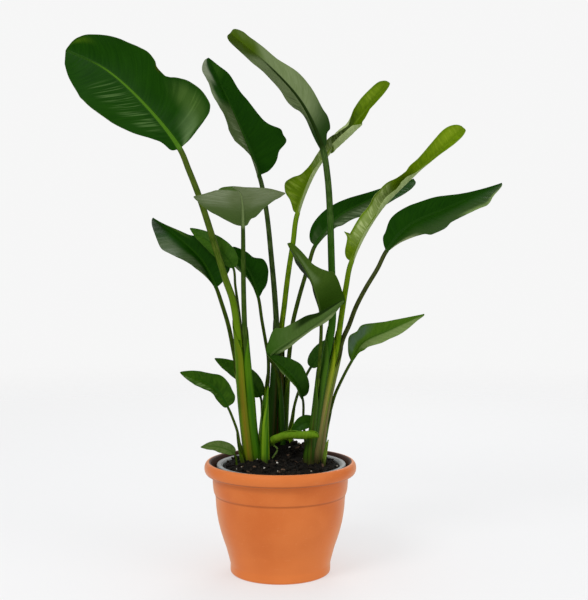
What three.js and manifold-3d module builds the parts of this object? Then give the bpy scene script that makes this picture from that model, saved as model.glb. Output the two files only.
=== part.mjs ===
// Potted bird of paradise plant: three fans of long-stalked leaves that grow out of soil,
// in a plain nursery pot that stands inside a terracotta-coloured outer pot.
// Millimetres, +Z up, origin on the pot's axis at the middle of its flat base.

import * as THREE from 'three';
import * as BufferGeometryUtils from 'three/addons/utils/BufferGeometryUtils.js';
import Module from 'manifold-3d';

const wasm = await Module();
wasm.setup();

// Driving dimensions of the outer pot. The outline gives radius and height up the outside,
// to the step under the rim, and the rim is a rounded band.
const POT_HEIGHT = 219;
const RIM_RADIUS = 150;
const RIM_HEIGHT = 25;
const RIM_BULGE = 9;
const RIM_ARC = [-75, -40, 0, 40, 75];
const POT_OUTLINE = [[95, 0], [98, 2], [99, 6], [99, 18], [102, 30], [108, 52], [118.5, 84],
  [125.5, 118], [127.5, 140], [128.5, 152], [133.5, 158], [134, 193]];
const POT_INSIDE = [[137, 217], [130, 190], [128.5, 160], [123.5, 140], [114.5, 84], [97, 30],
  [95, 5]];

// Driving dimensions of the nursery pot
const NURSERY_LIP_RADIUS = 127.5;
const NURSERY_LIP_WIDTH = 9;
const NURSERY_LIP_Z = 214;
const NURSERY_LIP_DROP = 16;
const NURSERY_FOOT_RADIUS = 88;
const NURSERY_WALL = 2;
const NURSERY_SHIFT_X = 2;
const DRAIN_HOLES = 6;
const DRAIN_HOLE_RADIUS = 7;
const DRAIN_RING_RADIUS = 58;
const POT_SEGMENTS = 36;

// Driving dimensions of the soil and of what stands in it
const SOIL_Z = 208;
const SOIL_MOUND = 6;
const SOIL_RINGS = 4;
const CRUMB_HEIGHT = 4;
const ROOT_Z = 175;
const CLEARANCE = 0.3;

// Driving dimensions of the leaves
const BLADE_THICKNESS = 1.4;
const SOCKET_DEPTH = 30;
const SHEATH_WALL = 1.7;
const SHEATH_SIDES = 8;
const SHEATH_RINGS = 5;
const STALK_STEPS = 5;
const STALK_STEPS_SMALL = 3;
const BLADE_STATIONS = [0, 0.03, 0.1, 0.2, 0.32, 0.45, 0.6, 0.76, 0.92, 1];
const BLADE_STATIONS_SMALL = [0, 0.04, 0.15, 0.35, 0.6, 0.85, 1];

// Colours
const TERRACOTTA = 0xc8693a;
const NURSERY_GREY = 0x3b3d40;
const SOIL_BROWN = 0x2b1d16;
const DEEP_GREEN = 0x1f5212;
const UNDER_GREEN = 0x557a35;
const FRESH_GREEN = 0x6f9a1e;
const SHEATH_GREEN = 0x5d7f22;

// The leaves. stalk runs from the root to the foot of the blade and rib goes on to the tip.
// stem is the stalk's radius where it leaves its sheath and at the blade. sheath is the
// sheath's radius at the root and the height of its throat. left and right are the two halves
// of the blade, seen on the upper face with the tip up: half width, the place of the widest
// point along the blade, and how tapered the foot and the tip are (0.5 is round). face is
// where the upper face looks at the foot and at the tip. fold is the upward angle of the left
// and right halves at the foot and of both at the tip, and curl goes on bending them towards
// the margin, in degrees. swell widens or narrows one half about a place along the blade:
// half, place, gain and spread. wave is the ripple's height, count and phase.
const LEFT = 0;
const RIGHT = 1;
const LEAVES = [
  {
    name: 'leaf_left_crown', fan: 'left', colour: DEEP_GREEN,
    stalk: [[-57, -2, ROOT_Z], [-63, -3, 235], [-74, -5, 340], [-79, -6, 420], [-84, -6, 480],
      [-93, -6, 537], [-107, -4, 577], [-132, 0, 657], [-158, 4, 737], [-180, 8, 793]],
    rib: [[-198, 10, 835], [-266, 28, 924], [-347, 45, 997], [-429, 55, 1035]],
    stem: [7.5, 5.5], sheath: [12, 485],
    left: [74, 0.58, 0.8, 0.5], right: [84, 0.4, 0.2, 0.5],
    swell: [[RIGHT, 0.13, 0.45, 0.12], [RIGHT, 0.44, -0.22, 0.06], [RIGHT, 0.8, -0.07, 0.15]],
    face: [[0.05, -1, 0.1], [0.05, -1, 0.1]], fold: [8, 10, 8, 8], curl: [10, 24],
    wave: [3, 2, 0.2],
  },
  {
    name: 'leaf_left_forward', fan: 'left', colour: UNDER_GREEN,
    stalk: [[-42, 4, ROOT_Z], [-47, 2, 230], [-54, 0, 270], [-59, -4, 340], [-65, -8, 410],
      [-69, -9, 470], [-71, -11, 530], [-72, -13, 600], [-72, -14, 650]],
    rib: [[-72, -20, 682], [-70, -80, 719], [-67, -150, 739], [-65, -222, 746]],
    stem: [5.5, 4], sheath: [13, 470],
    left: [81, 0.7, 1.3, 0.6], right: [94, 0.6, 0.85, 0.8],
    face: [[0, 0.3, 1], [0, -0.1, 1]], fold: [0, -2, -2, -8], curl: [2, -6],
    wave: [3, 2, 0.6],
  },
  {
    name: 'leaf_left_middle', fan: 'left', colour: DEEP_GREEN,
    stalk: [[-56, 12, ROOT_Z], [-62, 14, 240], [-74, 18, 320], [-85, 22, 390], [-94, 26, 437],
      [-104, 30, 485], [-118, 35, 530]],
    rib: [[-129, 38, 561], [-155, 44, 612], [-197, 50, 654], [-257, 54, 700]],
    stem: [4.8, 3.8], sheath: [8, 395],
    left: [52, 0.7, 1.4, 0.75], right: [41, 0.15, 0.8, 1.6],
    face: [[0.1, -0.85, 0.4], [-0.1, -0.85, 0.5]], fold: [48, 20, 40, 25], curl: [0, 10],
    wave: [3, 2, 0.1],
  },
  {
    name: 'leaf_left_back', fan: 'left', colour: DEEP_GREEN,
    stalk: [[-56, 6, ROOT_Z], [-64, 8, 300], [-73, 8, 400], [-79, 8, 490], [-84, 9, 530],
      [-89, 11, 565]],
    rib: [[-93, 14, 600], [-116, 22, 632], [-147, 32, 656], [-181, 44, 679]],
    stem: [2.8, 2.4], sheath: [7, 490],
    left: [18, 0.4, 0.6, 0.9], right: [20, 0.3, 0.5, 0.9],
    face: [[0, -0.9, 0.4], [0, -0.9, 0.4]], fold: [20, 20, 20, 20], curl: [0, 0],
    wave: [1.5, 2, 0],
  },
  {
    name: 'leaf_left_low', fan: 'left', colour: DEEP_GREEN,
    stalk: [[-62, -10, ROOT_Z], [-72, -14, 215], [-79, -16, 250], [-84, -19, 280],
      [-92, -24, 305]],
    rib: [[-102, -30, 330], [-120, -35, 361], [-152, -39, 384], [-193, -42, 399]],
    stem: [2.8, 2.4], sheath: [7, 262],
    left: [21, 0.4, 0.5, 0.9], right: [20, 0.35, 0.4, 0.9],
    face: [[0, -0.8, 0.5], [0, -0.8, 0.5]], fold: [30, 20, 30, 20], curl: [0, 10],
    wave: [2, 2, 0.4], small: true,
  },
  {
    name: 'leaf_left_seedling', fan: 'none', colour: DEEP_GREEN,
    stalk: [[-84, -24, 180], [-85, -25, 215]],
    rib: [[-90, -29, 238], [-111, -34, 250], [-132, -37, 254], [-154, -40, 253]],
    stem: [2.2, 2], left: [11, 0.4, 0.5, 1], right: [12, 0.3, 0.5, 1],
    face: [[0, -0.8, 0.5], [0, -0.8, 0.5]], fold: [20, 20, 20, 20], curl: [0, 0],
    wave: [1, 2, 0], small: true,
  },
  {
    name: 'leaf_middle_crown', fan: 'middle', colour: DEEP_GREEN,
    stalk: [[-24, 52, ROOT_Z], [-20, 51, 250], [-15, 50, 330], [-11, 49, 400], [-8, 48, 470],
      [-11, 46, 535], [-18, 44, 617], [-28, 40, 713]],
    rib: [[-42, 36, 784], [-72, 28, 862], [-106, 18, 938], [-141, 5, 1010]],
    stem: [6, 4.5], sheath: [11, 480],
    left: [58, 0.45, 0.6, 0.45], right: [42, 0.35, 0.4, 0.7],
    swell: [[RIGHT, 0.17, 0.8, 0.11]],
    face: [[0.6, -0.75, 0.2], [0.5, -0.8, 0.2]], fold: [30, 40, 30, 30], curl: [0, 0],
    wave: [3, 2, 0.3],
  },
  {
    name: 'leaf_middle_new', fan: 'middle', colour: FRESH_GREEN,
    stalk: [[-9, 63, ROOT_Z], [-5, 64, 260], [-2, 64, 340], [0, 62, 420], [2, 60, 480],
      [7, 60, 520], [11, 60, 555], [17, 62, 600], [25, 65, 650]],
    rib: [[34, 68, 710], [80, 80, 812], [146, 95, 888], [222, 112, 980]],
    stem: [5.5, 5], sheath: [12, 470],
    left: [24, 0.8, 0.3, 0.3], right: [24, 0.7, 0.4, 0.4],
    swell: [[LEFT, 0.13, 1.6, 0.1], [RIGHT, 0.12, 0.9, 0.1], [LEFT, 0.42, -0.75, 0.18],
      [RIGHT, 0.36, -0.4, 0.08]],
    face: [[-0.7, -0.1, 0.6], [-0.3, -0.8, 0.4]], fold: [76, 76, 35, 35], curl: [10, 10],
    wave: [1.5, 3, 0.1],
  },
  {
    name: 'leaf_middle_back', fan: 'middle', colour: DEEP_GREEN,
    stalk: [[-42, 52, ROOT_Z], [-38, 52, 250], [-30, 52, 330], [-25, 52, 380], [-25, 51, 420],
      [-30, 50, 450], [-38, 50, 496]],
    rib: [[-45, 51, 541], [-62, 52, 590], [-96, 56, 630], [-145, 58, 661]],
    stem: [3.6, 3.2], sheath: [10, 370],
    left: [26, 0.5, 1.2, 0.9], right: [34, 0.27, 0.9, 2.2],
    face: [[0.1, -0.85, 0.4], [-0.1, -0.85, 0.5]], fold: [55, 20, 45, 25], curl: [0, 10],
    wave: [3, 2, 0.7],
  },
  {
    name: 'leaf_middle_right', fan: 'middle', colour: DEEP_GREEN,
    stalk: [[4, 70, ROOT_Z], [7, 69, 260], [11, 66, 340], [15, 63, 400], [19, 61, 440],
      [23, 64, 480], [36, 70, 535], [49, 74, 580], [58, 77, 610]],
    rib: [[70, 80, 645], [115, 86, 702], [185, 90, 740], [272, 94, 781]],
    stem: [4.5, 4], sheath: [9, 395],
    left: [28, 0.3, 0.5, 1.3], right: [28, 0.65, 0.67, 0.3],
    face: [[-0.25, -0.87, 0.42], [-0.25, -0.87, 0.42]], fold: [30, 30, 30, 30], curl: [0, 0],
    wave: [2, 2, 0.2],
  },
  {
    name: 'leaf_middle_front', fan: 'middle', colour: UNDER_GREEN,
    stalk: [[4, 50, ROOT_Z], [3, 48, 260], [1, 44, 330], [-2, 36, 375], [-6, 18, 405],
      [-6, 2, 425]],
    rib: [[-2, -10, 442], [42, -36, 476], [83, -62, 508], [121, -86, 540]],
    stem: [3.6, 3.2], sheath: [8, 375],
    left: [18, 0.4, 0.5, 0.9], right: [28, 0.15, 0.3, 1.1],
    face: [[-0.4, 0.6, 0.7], [-0.4, 0.6, 0.7]], fold: [25, 50, 25, 50], curl: [0, 0],
    wave: [2, 2, 0.5],
  },
  {
    name: 'leaf_middle_low_back', fan: 'middle', colour: DEEP_GREEN,
    stalk: [[-30, 66, ROOT_Z], [-34, 64, 250], [-38, 61, 300]],
    rib: [[-41, 57, 338], [-62, 48, 373], [-96, 42, 398], [-132, 38, 418]],
    stem: [2.6, 2.4], sheath: [6.5, 275],
    left: [22, 0.4, 0.5, 0.9], right: [18, 0.35, 0.5, 0.9],
    face: [[0, -0.8, 0.5], [0, -0.8, 0.5]], fold: [20, 20, 20, 20], curl: [0, 0],
    wave: [1.5, 2, 0], small: true,
  },
  {
    name: 'leaf_middle_low_right', fan: 'middle', colour: DEEP_GREEN,
    stalk: [[12, 52, ROOT_Z], [17, 53, 230], [21, 54, 280], [26, 55, 312], [35, 56, 345],
      [50, 58, 378]],
    rib: [[61, 60, 398], [77, 62, 420], [95, 64, 440], [112, 66, 458]],
    stem: [3, 2.6], sheath: [7, 300],
    left: [17, 0.4, 0.5, 0.9], right: [17, 0.35, 0.5, 0.9],
    face: [[-0.2, -0.8, 0.5], [-0.2, -0.8, 0.5]], fold: [20, 20, 20, 20], curl: [0, 0],
    wave: [1, 2, 0], small: true,
  },
  {
    name: 'leaf_right_crown', fan: 'right', colour: UNDER_GREEN,
    stalk: [[52, 4, ROOT_Z], [57, 3, 230], [66, 2, 275], [76, 1, 340], [84, 1, 385],
      [94, 2, 440], [102, 1, 490], [103, -2, 545], [101, -4, 596], [99, -8, 660],
      [97, -10, 715], [92, -12, 780]],
    rib: [[82, -14, 835], [42, -32, 918], [-20, -56, 984], [-92, -85, 1040]],
    stem: [7.5, 6], sheath: [12, 470],
    left: [44, 0.4, 0.6, 0.3], right: [46, 0.4, 0.7, 0.3],
    face: [[0.1, 0.95, 0.3], [0.1, 0.95, 0.3]], fold: [68, 68, 64, 64], curl: [0, 0],
    wave: [3, 3, 0.2],
  },
  {
    name: 'leaf_right_new', fan: 'right', colour: FRESH_GREEN,
    stalk: [[66, 8, ROOT_Z], [70, 8, 240], [80, 9, 300], [88, 10, 340], [98, 12, 385],
      [112, 14, 445], [120, 15, 498], [130, 16, 562]],
    rib: [[141, 18, 613], [196, 24, 712], [270, 30, 788], [366, 34, 876]],
    stem: [6, 5], sheath: [11, 460],
    left: [23, 0.8, 0.4, 0.3], right: [20, 0.7, 0.6, 0.4],
    swell: [[LEFT, 0.14, 0.9, 0.12], [RIGHT, 0.3, -0.3, 0.15], [LEFT, 0.5, -0.3, 0.12]],
    face: [[-0.7, -0.1, 0.6], [-0.3, -0.8, 0.4]], fold: [76, 76, 35, 35], curl: [10, 10],
    wave: [1.5, 3, 0.5],
  },
  {
    name: 'leaf_right_outer', fan: 'right', colour: DEEP_GREEN,
    stalk: [[74, 18, ROOT_Z], [80, 18, 240], [88, 18, 300], [98, 19, 350], [110, 21, 400],
      [124, 25, 457], [136, 26, 484], [150, 27, 521], [169, 28, 558], [193, 29, 598]],
    rib: [[212, 30, 635], [255, 36, 684], [337, 40, 722], [442, 42, 769]],
    stem: [4.8, 4.2], sheath: [9, 430],
    left: [42, 0.33, 0.9, 1.5], right: [50, 0.48, 1.1, 0.6],
    face: [[-0.25, -0.87, 0.42], [-0.25, -0.87, 0.42]], fold: [30, 30, 30, 30], curl: [0, 0],
    wave: [2, 2, 0.8],
  },
  {
    name: 'leaf_right_front', fan: 'right', colour: UNDER_GREEN,
    stalk: [[58, -6, ROOT_Z], [62, -8, 260], [70, -11, 340], [76, -14, 400], [79, -20, 450],
      [80, -28, 485]],
    rib: [[79, -36, 513], [67, -48, 562], [46, -54, 604], [17, -60, 641]],
    stem: [3.6, 3.2], sheath: [8, 395],
    left: [50, 0.12, 0.2, 2.1], right: [27, 0.5, 0.9, 0.9],
    face: [[0.6, 0.77, 0.2], [0.6, 0.77, 0.2]], fold: [40, 40, 40, 40], curl: [0, 0],
    wave: [2, 2, 0],
  },
  {
    name: 'leaf_right_low_front', fan: 'right', colour: DEEP_GREEN,
    stalk: [[58, 26, ROOT_Z], [54, 35, 230], [48, 40, 270], [46, 36, 300], [46, 26, 325]],
    rib: [[44, 16, 342], [34, 4, 372], [10, -4, 402], [-26, -12, 432]],
    stem: [2.6, 2.4], sheath: [6, 245],
    left: [25, 0.4, 0.5, 0.9], right: [23, 0.3, 0.5, 1],
    face: [[0.49, -0.77, 0.42], [0.49, -0.77, 0.42]], fold: [40, 40, 40, 40], curl: [0, 0],
    wave: [1.5, 2, 0.3], small: true,
  },
  {
    name: 'leaf_right_low_outer', fan: 'right', colour: DEEP_GREEN,
    stalk: [[76, 24, ROOT_Z], [84, 24, 240], [92, 24, 285], [99, 26, 312], [109, 30, 346],
      [118, 33, 366], [130, 36, 390]],
    rib: [[143, 40, 413], [164, 38, 449], [218, 32, 476], [286, 22, 508]],
    stem: [3.2, 2.8], sheath: [8, 300],
    left: [31, 0.35, 0.9, 1.2], right: [18, 0.66, 0.9, 0.5],
    face: [[-0.25, -0.8, 0.5], [-0.25, -0.8, 0.5]], fold: [30, 20, 30, 20], curl: [0, 0],
    wave: [1.5, 2, 0.1],
  },
  {
    name: 'leaf_right_seedling', fan: 'right', colour: DEEP_GREEN,
    stalk: [[64, 22, ROOT_Z], [68, 27, 230], [69, 26, 265]],
    rib: [[67, 23, 290], [50, 20, 292], [36, 18, 284], [20, 18, 266]],
    stem: [2.2, 2], sheath: [5.5, 235],
    left: [13, 0.4, 0.5, 0.9], right: [13, 0.35, 0.5, 0.9],
    face: [[0, -0.9, 0.4], [0, -0.9, 0.4]], fold: [15, 15, 15, 15], curl: [0, 0],
    wave: [1, 2, 0], small: true,
  },
  {
    name: 'shoot_front', fan: 'none', colour: FRESH_GREEN,
    stalk: [[-20, 14, 180], [-20, 13, 212], [-17, 9, 232]],
    rib: [[-10, 3, 247], [14, -10, 263], [46, -25, 271], [76, -36, 276]],
    stem: [2.4, 2], left: [12, 0.25, 0.3, 0.9], right: [10, 0.3, 0.5, 0.9],
    face: [[-0.2, -0.6, 0.8], [-0.1, -0.6, 0.8]], fold: [20, 20, 20, 20], curl: [0, 0],
    wave: [1, 2, 0], small: true,
  },
];

// A spear of rolled sheath beside the right fan: x, y, z and radius
const SPEAR = [[80, 16, ROOT_Z, 5], [85, 17, 215, 5], [89, 18, 236, 4], [91, 18, 256, 1]];

// Closed solids

function meshGeometry(positions, indices) {
  const geometry = new THREE.BufferGeometry();
  geometry.setAttribute('position', new THREE.Float32BufferAttribute(positions, 3));
  geometry.setIndex(indices);
  return geometry;
}

function signedVolume(positions, indices) {
  let volume = 0;
  const corner = (i) => new THREE.Vector3().fromArray(positions, indices[i] * 3);
  for (let i = 0; i < indices.length; i += 3) {
    volume += corner(i).dot(corner(i + 1).cross(corner(i + 2))) / 6;
  }
  return volume;
}

// Loft through rings of equal length. A ring runs along the upper face and back along the
// lower one, and both faces are split into triangles alike, so a thin waved blade never
// crosses itself.
function loft(rings) {
  const sides = rings[0].length;
  const half = sides / 2;
  const positions = rings.flat().flatMap((p) => [p.x, p.y, p.z]);
  const indices = [];
  for (let i = 0; i + 1 < rings.length; i += 1) {
    for (let j = 0; j < sides; j += 1) {
      const a = i * sides + j;
      const b = i * sides + ((j + 1) % sides);
      const c = a + sides;
      const d = b + sides;
      if (j < half) {
        indices.push(a, b, d, a, d, c);
      } else {
        indices.push(a, b, c, b, d, c);
      }
    }
  }
  const cap = (first, flip) => {
    for (let j = 0; j + 1 < half; j += 1) {
      const quad = [j, j + 1, sides - 2 - j, sides - 1 - j].map((k) => first + k);
      const [a, b, c, d] = flip ? quad.reverse() : quad;
      indices.push(a, b, c, a, c, d);
    }
  };
  cap(0, true);
  cap((rings.length - 1) * sides, false);
  if (signedVolume(positions, indices) < 0) {
    for (let i = 0; i < indices.length; i += 3) {
      [indices[i], indices[i + 1]] = [indices[i + 1], indices[i]];
    }
  }
  return meshGeometry(positions, indices);
}

function toManifold(geometry) {
  const bare = geometry.clone();
  bare.deleteAttribute('normal');
  bare.deleteAttribute('uv');
  const merged = BufferGeometryUtils.mergeVertices(bare, 1e-4);
  return new wasm.Manifold(new wasm.Mesh({
    numProp: 3,
    vertProperties: new Float32Array(merged.attributes.position.array),
    triVerts: new Uint32Array(merged.index.array),
  }));
}

function fromManifold(solid) {
  const mesh = solid.getMesh();
  return meshGeometry(Array.from(mesh.vertProperties), Array.from(mesh.triVerts));
}

function makeMesh(name, geometry, colour, roughness) {
  const material = new THREE.MeshStandardMaterial({ color: colour, roughness, metalness: 0 });
  const mesh = new THREE.Mesh(geometry, material);
  mesh.name = name;
  return mesh;
}

// Leaves

const toVector = ([x, y, z]) => new THREE.Vector3(x, y, z);
const mix = (a, b, t) => a + (b - a) * t;
const radians = THREE.MathUtils.degToRad;

function centreline(leaf) {
  return new THREE.CatmullRomCurve3([...leaf.stalk, ...leaf.rib].map(toVector));
}

// Curve parameter of a place along the blade, with 0 at its foot and 1 at its tip
function bladeParameter(leaf, t) {
  const last = leaf.stalk.length + leaf.rib.length - 1;
  return mix(leaf.stalk.length, last, t) / last;
}

// Curve parameter where the stalk, which climbs all the way, reaches a height
function parameterAtHeight(leaf, curve, height) {
  let low = 0;
  let high = bladeParameter(leaf, 0);
  for (let i = 0; i < 20; i += 1) {
    const middle = (low + high) / 2;
    if (curve.getPoint(middle).z < height) low = middle;
    else high = middle;
  }
  return low;
}

// Point, tangent, upper-face normal and rightward direction at a place on the centreline
function frameAt(leaf, curve, parameter, t) {
  const tangent = curve.getTangent(parameter).normalize();
  const face = toVector(leaf.face[0]).lerp(toVector(leaf.face[1]), t);
  const normal = face.addScaledVector(tangent, -face.dot(tangent)).normalize();
  const origin = curve.getPoint(parameter);
  return { origin, tangent, normal, right: tangent.clone().cross(normal) };
}

// Half width of one side of the blade at a place along it
function halfWidth(leaf, side, t) {
  const [widestHalf, widest, foot, tip] = side === LEFT ? leaf.left : leaf.right;
  const away = t < widest ? (widest - t) / widest : (t - widest) / (1 - widest);
  let width = widestHalf * Math.max(0, 1 - away ** 2) ** (t < widest ? foot : tip);
  for (const [where, place, gain, spread] of leaf.swell ?? []) {
    if (where === side) width *= 1 + gain * Math.exp(-(((t - place) / spread) ** 2));
  }
  return width;
}

// Point on one half of the blade: share runs from the rib's edge, 0, to the margin, 1
function bladePoint(leaf, frame, side, t, share, ribRadius, depth) {
  const out = side === LEFT ? -1 : 1;
  const bend = radians(leaf.curl[side]) * share;
  const angle = radians(mix(leaf.fold[side], leaf.fold[side + 2], t)) + bend / 2;
  const chord = bend === 0 ? 1 : Math.sin(bend / 2) / (bend / 2);
  const reach = halfWidth(leaf, side, t) * share * chord;
  const [size, count, phase] = leaf.wave;
  const ripple = size * share ** 2 * Math.sin(Math.PI * t)
    * Math.sin(2 * Math.PI * (count * t + phase + side * 0.37));
  const lift = ripple - depth;
  const tilt = angle + bend / 2;
  const across = out * (ribRadius + reach * Math.cos(angle) - lift * Math.sin(tilt));
  const up = reach * Math.sin(angle) + lift * Math.cos(tilt);
  return frame.origin.clone()
    .addScaledVector(frame.right, across)
    .addScaledVector(frame.normal, up);
}

// Shares of a half blade at which it has points, from the margin to the rib
const HALF_SHARES = [1, 0.5, 0];

function bladeRing(leaf, frame, t, ribRadius) {
  const faceRow = (depth, keel) => [
    ...HALF_SHARES.map((share) => bladePoint(leaf, frame, LEFT, t, share, ribRadius, depth)),
    frame.origin.clone().addScaledVector(frame.normal, -keel),
    ...[...HALF_SHARES].reverse().map(
      (share) => bladePoint(leaf, frame, RIGHT, t, share, ribRadius, depth)),
  ];
  const upper = faceRow(0, ribRadius * 0.3);
  const lower = faceRow(BLADE_THICKNESS, BLADE_THICKNESS + ribRadius * 1.3);
  return [...upper, ...lower.reverse()];
}

const RING_SIDES = 2 * (2 * HALF_SHARES.length + 1);

function stalkRing(frame, radius, sides = RING_SIDES) {
  const ring = [];
  for (let j = 0; j < sides; j += 1) {
    const angle = Math.PI * (1 - (2 * j + 1) / sides);
    ring.push(frame.origin.clone()
      .addScaledVector(frame.right, radius * Math.cos(angle))
      .addScaledVector(frame.normal, radius * Math.sin(angle)));
  }
  return ring;
}

function stalkRings(leaf, curve, extra) {
  const count = leaf.small ? STALK_STEPS_SMALL : STALK_STEPS;
  const start = leaf.sheath
    ? parameterAtHeight(leaf, curve, leaf.sheath[1] - SOCKET_DEPTH)
    : 0;
  const end = bladeParameter(leaf, 0);
  const rings = [];
  for (let i = 0; i <= count; i += 1) {
    const share = i / count;
    const radius = mix(leaf.stem[0], leaf.stem[1], share) + extra;
    const frame = frameAt(leaf, curve, mix(start, end, share), 0);
    if (i === 0) frame.origin.addScaledVector(frame.tangent, -extra);
    rings.push(stalkRing(frame, radius));
  }
  return rings;
}

function leafGeometry(leaf) {
  const curve = centreline(leaf);
  const rings = stalkRings(leaf, curve, 0);
  const stations = leaf.small ? BLADE_STATIONS_SMALL : BLADE_STATIONS;
  for (const t of stations.slice(1)) {
    const ribRadius = mix(leaf.stem[1], 0.9, t ** 0.7);
    const frame = frameAt(leaf, curve, bladeParameter(leaf, t), t);
    rings.push(bladeRing(leaf, frame, t, ribRadius));
  }
  return loft(rings);
}

function stalkSolid(leaf, extra) {
  return toManifold(loft(stalkRings(leaf, centreline(leaf), extra)));
}

// Sheaths: the clasping lower ends of a fan's stalks, grown together

function sheathSolid(leaf, extra) {
  const curve = centreline(leaf);
  const [rootRadius, throatZ] = leaf.sheath;
  const throatRadius = leaf.stem[0] + SHEATH_WALL;
  const end = parameterAtHeight(leaf, curve, throatZ);
  const rings = [];
  for (let i = 0; i < SHEATH_RINGS; i += 1) {
    const share = i / (SHEATH_RINGS - 1);
    const radius = mix(rootRadius, throatRadius, share) + extra;
    const frame = frameAt(leaf, curve, end * share, 0);
    if (i === 0) frame.origin.addScaledVector(frame.tangent, -extra);
    rings.push(stalkRing(frame, radius, SHEATH_SIDES));
  }
  return toManifold(loft(rings));
}

function spearSolid(extra) {
  const rings = SPEAR.map(([x, y, z, radius], i) => stalkRing({
    origin: new THREE.Vector3(x, y, i === 0 ? z - extra : z),
    right: new THREE.Vector3(1, 0, 0),
    normal: new THREE.Vector3(0, -1, 0),
  }, radius + extra, SHEATH_SIDES));
  return toManifold(loft(rings));
}

function fanSolid(fan, extra) {
  let solid = null;
  for (const leaf of LEAVES.filter((each) => each.fan === fan)) {
    const sheath = sheathSolid(leaf, extra);
    solid = solid ? solid.add(sheath) : sheath;
  }
  return fan === 'right' ? solid.add(spearSolid(extra)) : solid;
}

function fanMesh(fan) {
  let solid = fanSolid(fan, 0);
  for (const leaf of LEAVES) solid = solid.subtract(stalkSolid(leaf, CLEARANCE));
  return makeMesh(`fan_${fan}_sheaths`, fromManifold(solid), SHEATH_GREEN, 0.5);
}

// Pots and soil

function lathe(profile) {
  const points = profile.map(([r, z]) => new THREE.Vector2(r, z));
  return cleaned(new THREE.LatheGeometry(points, POT_SEGMENTS).rotateX(Math.PI / 2));
}

function outerPot() {
  const rimRound = RIM_HEIGHT / 2;
  const rim = RIM_ARC.map(radians).map((angle) => [
    RIM_RADIUS - RIM_BULGE + RIM_BULGE * Math.cos(angle),
    POT_HEIGHT - rimRound + rimRound * Math.sin(angle)]);
  const floorZ = POT_INSIDE[POT_INSIDE.length - 1][1];
  const profile = [[0, 0], ...POT_OUTLINE, ...rim, ...POT_INSIDE, [0, floorZ]];
  return makeMesh('outer_pot', lathe(profile), TERRACOTTA, 0.55);
}

const NURSERY_FLOOR_Z = POT_INSIDE[POT_INSIDE.length - 1][1] + CLEARANCE;
const SOIL_FLOOR_Z = NURSERY_FLOOR_Z + NURSERY_WALL + CLEARANCE;

// Inner radius of the nursery pot's wall at a height
function nurseryInside(z) {
  const top = NURSERY_LIP_RADIUS - NURSERY_LIP_WIDTH;
  const share = (z - NURSERY_FLOOR_Z) / (NURSERY_LIP_Z - NURSERY_FLOOR_Z);
  return mix(NURSERY_FOOT_RADIUS, top, share) - NURSERY_WALL;
}

function nurseryPot() {
  const wallTop = nurseryInside(NURSERY_LIP_Z) + NURSERY_WALL;
  const lipLow = NURSERY_LIP_Z - NURSERY_LIP_DROP;
  const insideFloorZ = NURSERY_FLOOR_Z + NURSERY_WALL;
  const profile = [[0, NURSERY_FLOOR_Z], [NURSERY_FOOT_RADIUS, NURSERY_FLOOR_Z],
    [wallTop - 1, NURSERY_LIP_Z - 5], [NURSERY_LIP_RADIUS - 3, NURSERY_LIP_Z - 5],
    [NURSERY_LIP_RADIUS - 2, lipLow], [NURSERY_LIP_RADIUS, lipLow],
    [NURSERY_LIP_RADIUS, NURSERY_LIP_Z - 2], [NURSERY_LIP_RADIUS - 2, NURSERY_LIP_Z],
    [wallTop + 1, NURSERY_LIP_Z], [nurseryInside(NURSERY_LIP_Z - 3), NURSERY_LIP_Z - 3],
    [nurseryInside(insideFloorZ), insideFloorZ], [0, insideFloorZ]];
  let solid = toManifold(lathe(profile));
  for (let i = 0; i < DRAIN_HOLES; i += 1) {
    const angle = (2 * Math.PI * i) / DRAIN_HOLES;
    const hole = new THREE.CylinderGeometry(DRAIN_HOLE_RADIUS, DRAIN_HOLE_RADIUS, 20, 8);
    hole.rotateX(Math.PI / 2);
    hole.translate(DRAIN_RING_RADIUS * Math.cos(angle), DRAIN_RING_RADIUS * Math.sin(angle),
      NURSERY_FLOOR_Z);
    solid = solid.subtract(toManifold(hole));
  }
  const mesh = makeMesh('nursery_pot', fromManifold(solid), NURSERY_GREY, 0.45);
  mesh.position.x = NURSERY_SHIFT_X;
  return mesh;
}

function cleaned(geometry) {
  geometry.deleteAttribute('normal');
  geometry.deleteAttribute('uv');
  const merged = BufferGeometryUtils.mergeVertices(geometry, 1e-4);
  const position = merged.attributes.position;
  const indices = [];
  for (let i = 0; i < merged.index.count; i += 3) {
    const corners = [0, 1, 2].map((k) => merged.index.getX(i + k));
    if (new Set(corners).size === 3) indices.push(...corners);
  }
  const array = Array.from(position.array);
  if (signedVolume(array, indices) < 0) indices.reverse();
  return meshGeometry(array, indices);
}

// Height of the soil: a low mound with crumbs
function soilHeight(x, y, distance, radius) {
  const mound = SOIL_MOUND * (1 - (distance / radius) ** 2);
  const crumbs = Math.sin(x * 0.21 + 1.3) * Math.cos(y * 0.17) + Math.sin((x + y) * 0.31);
  return SOIL_Z + mound + (CRUMB_HEIGHT / 2) * crumbs * (1 - (distance / radius) ** 6);
}

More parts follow.
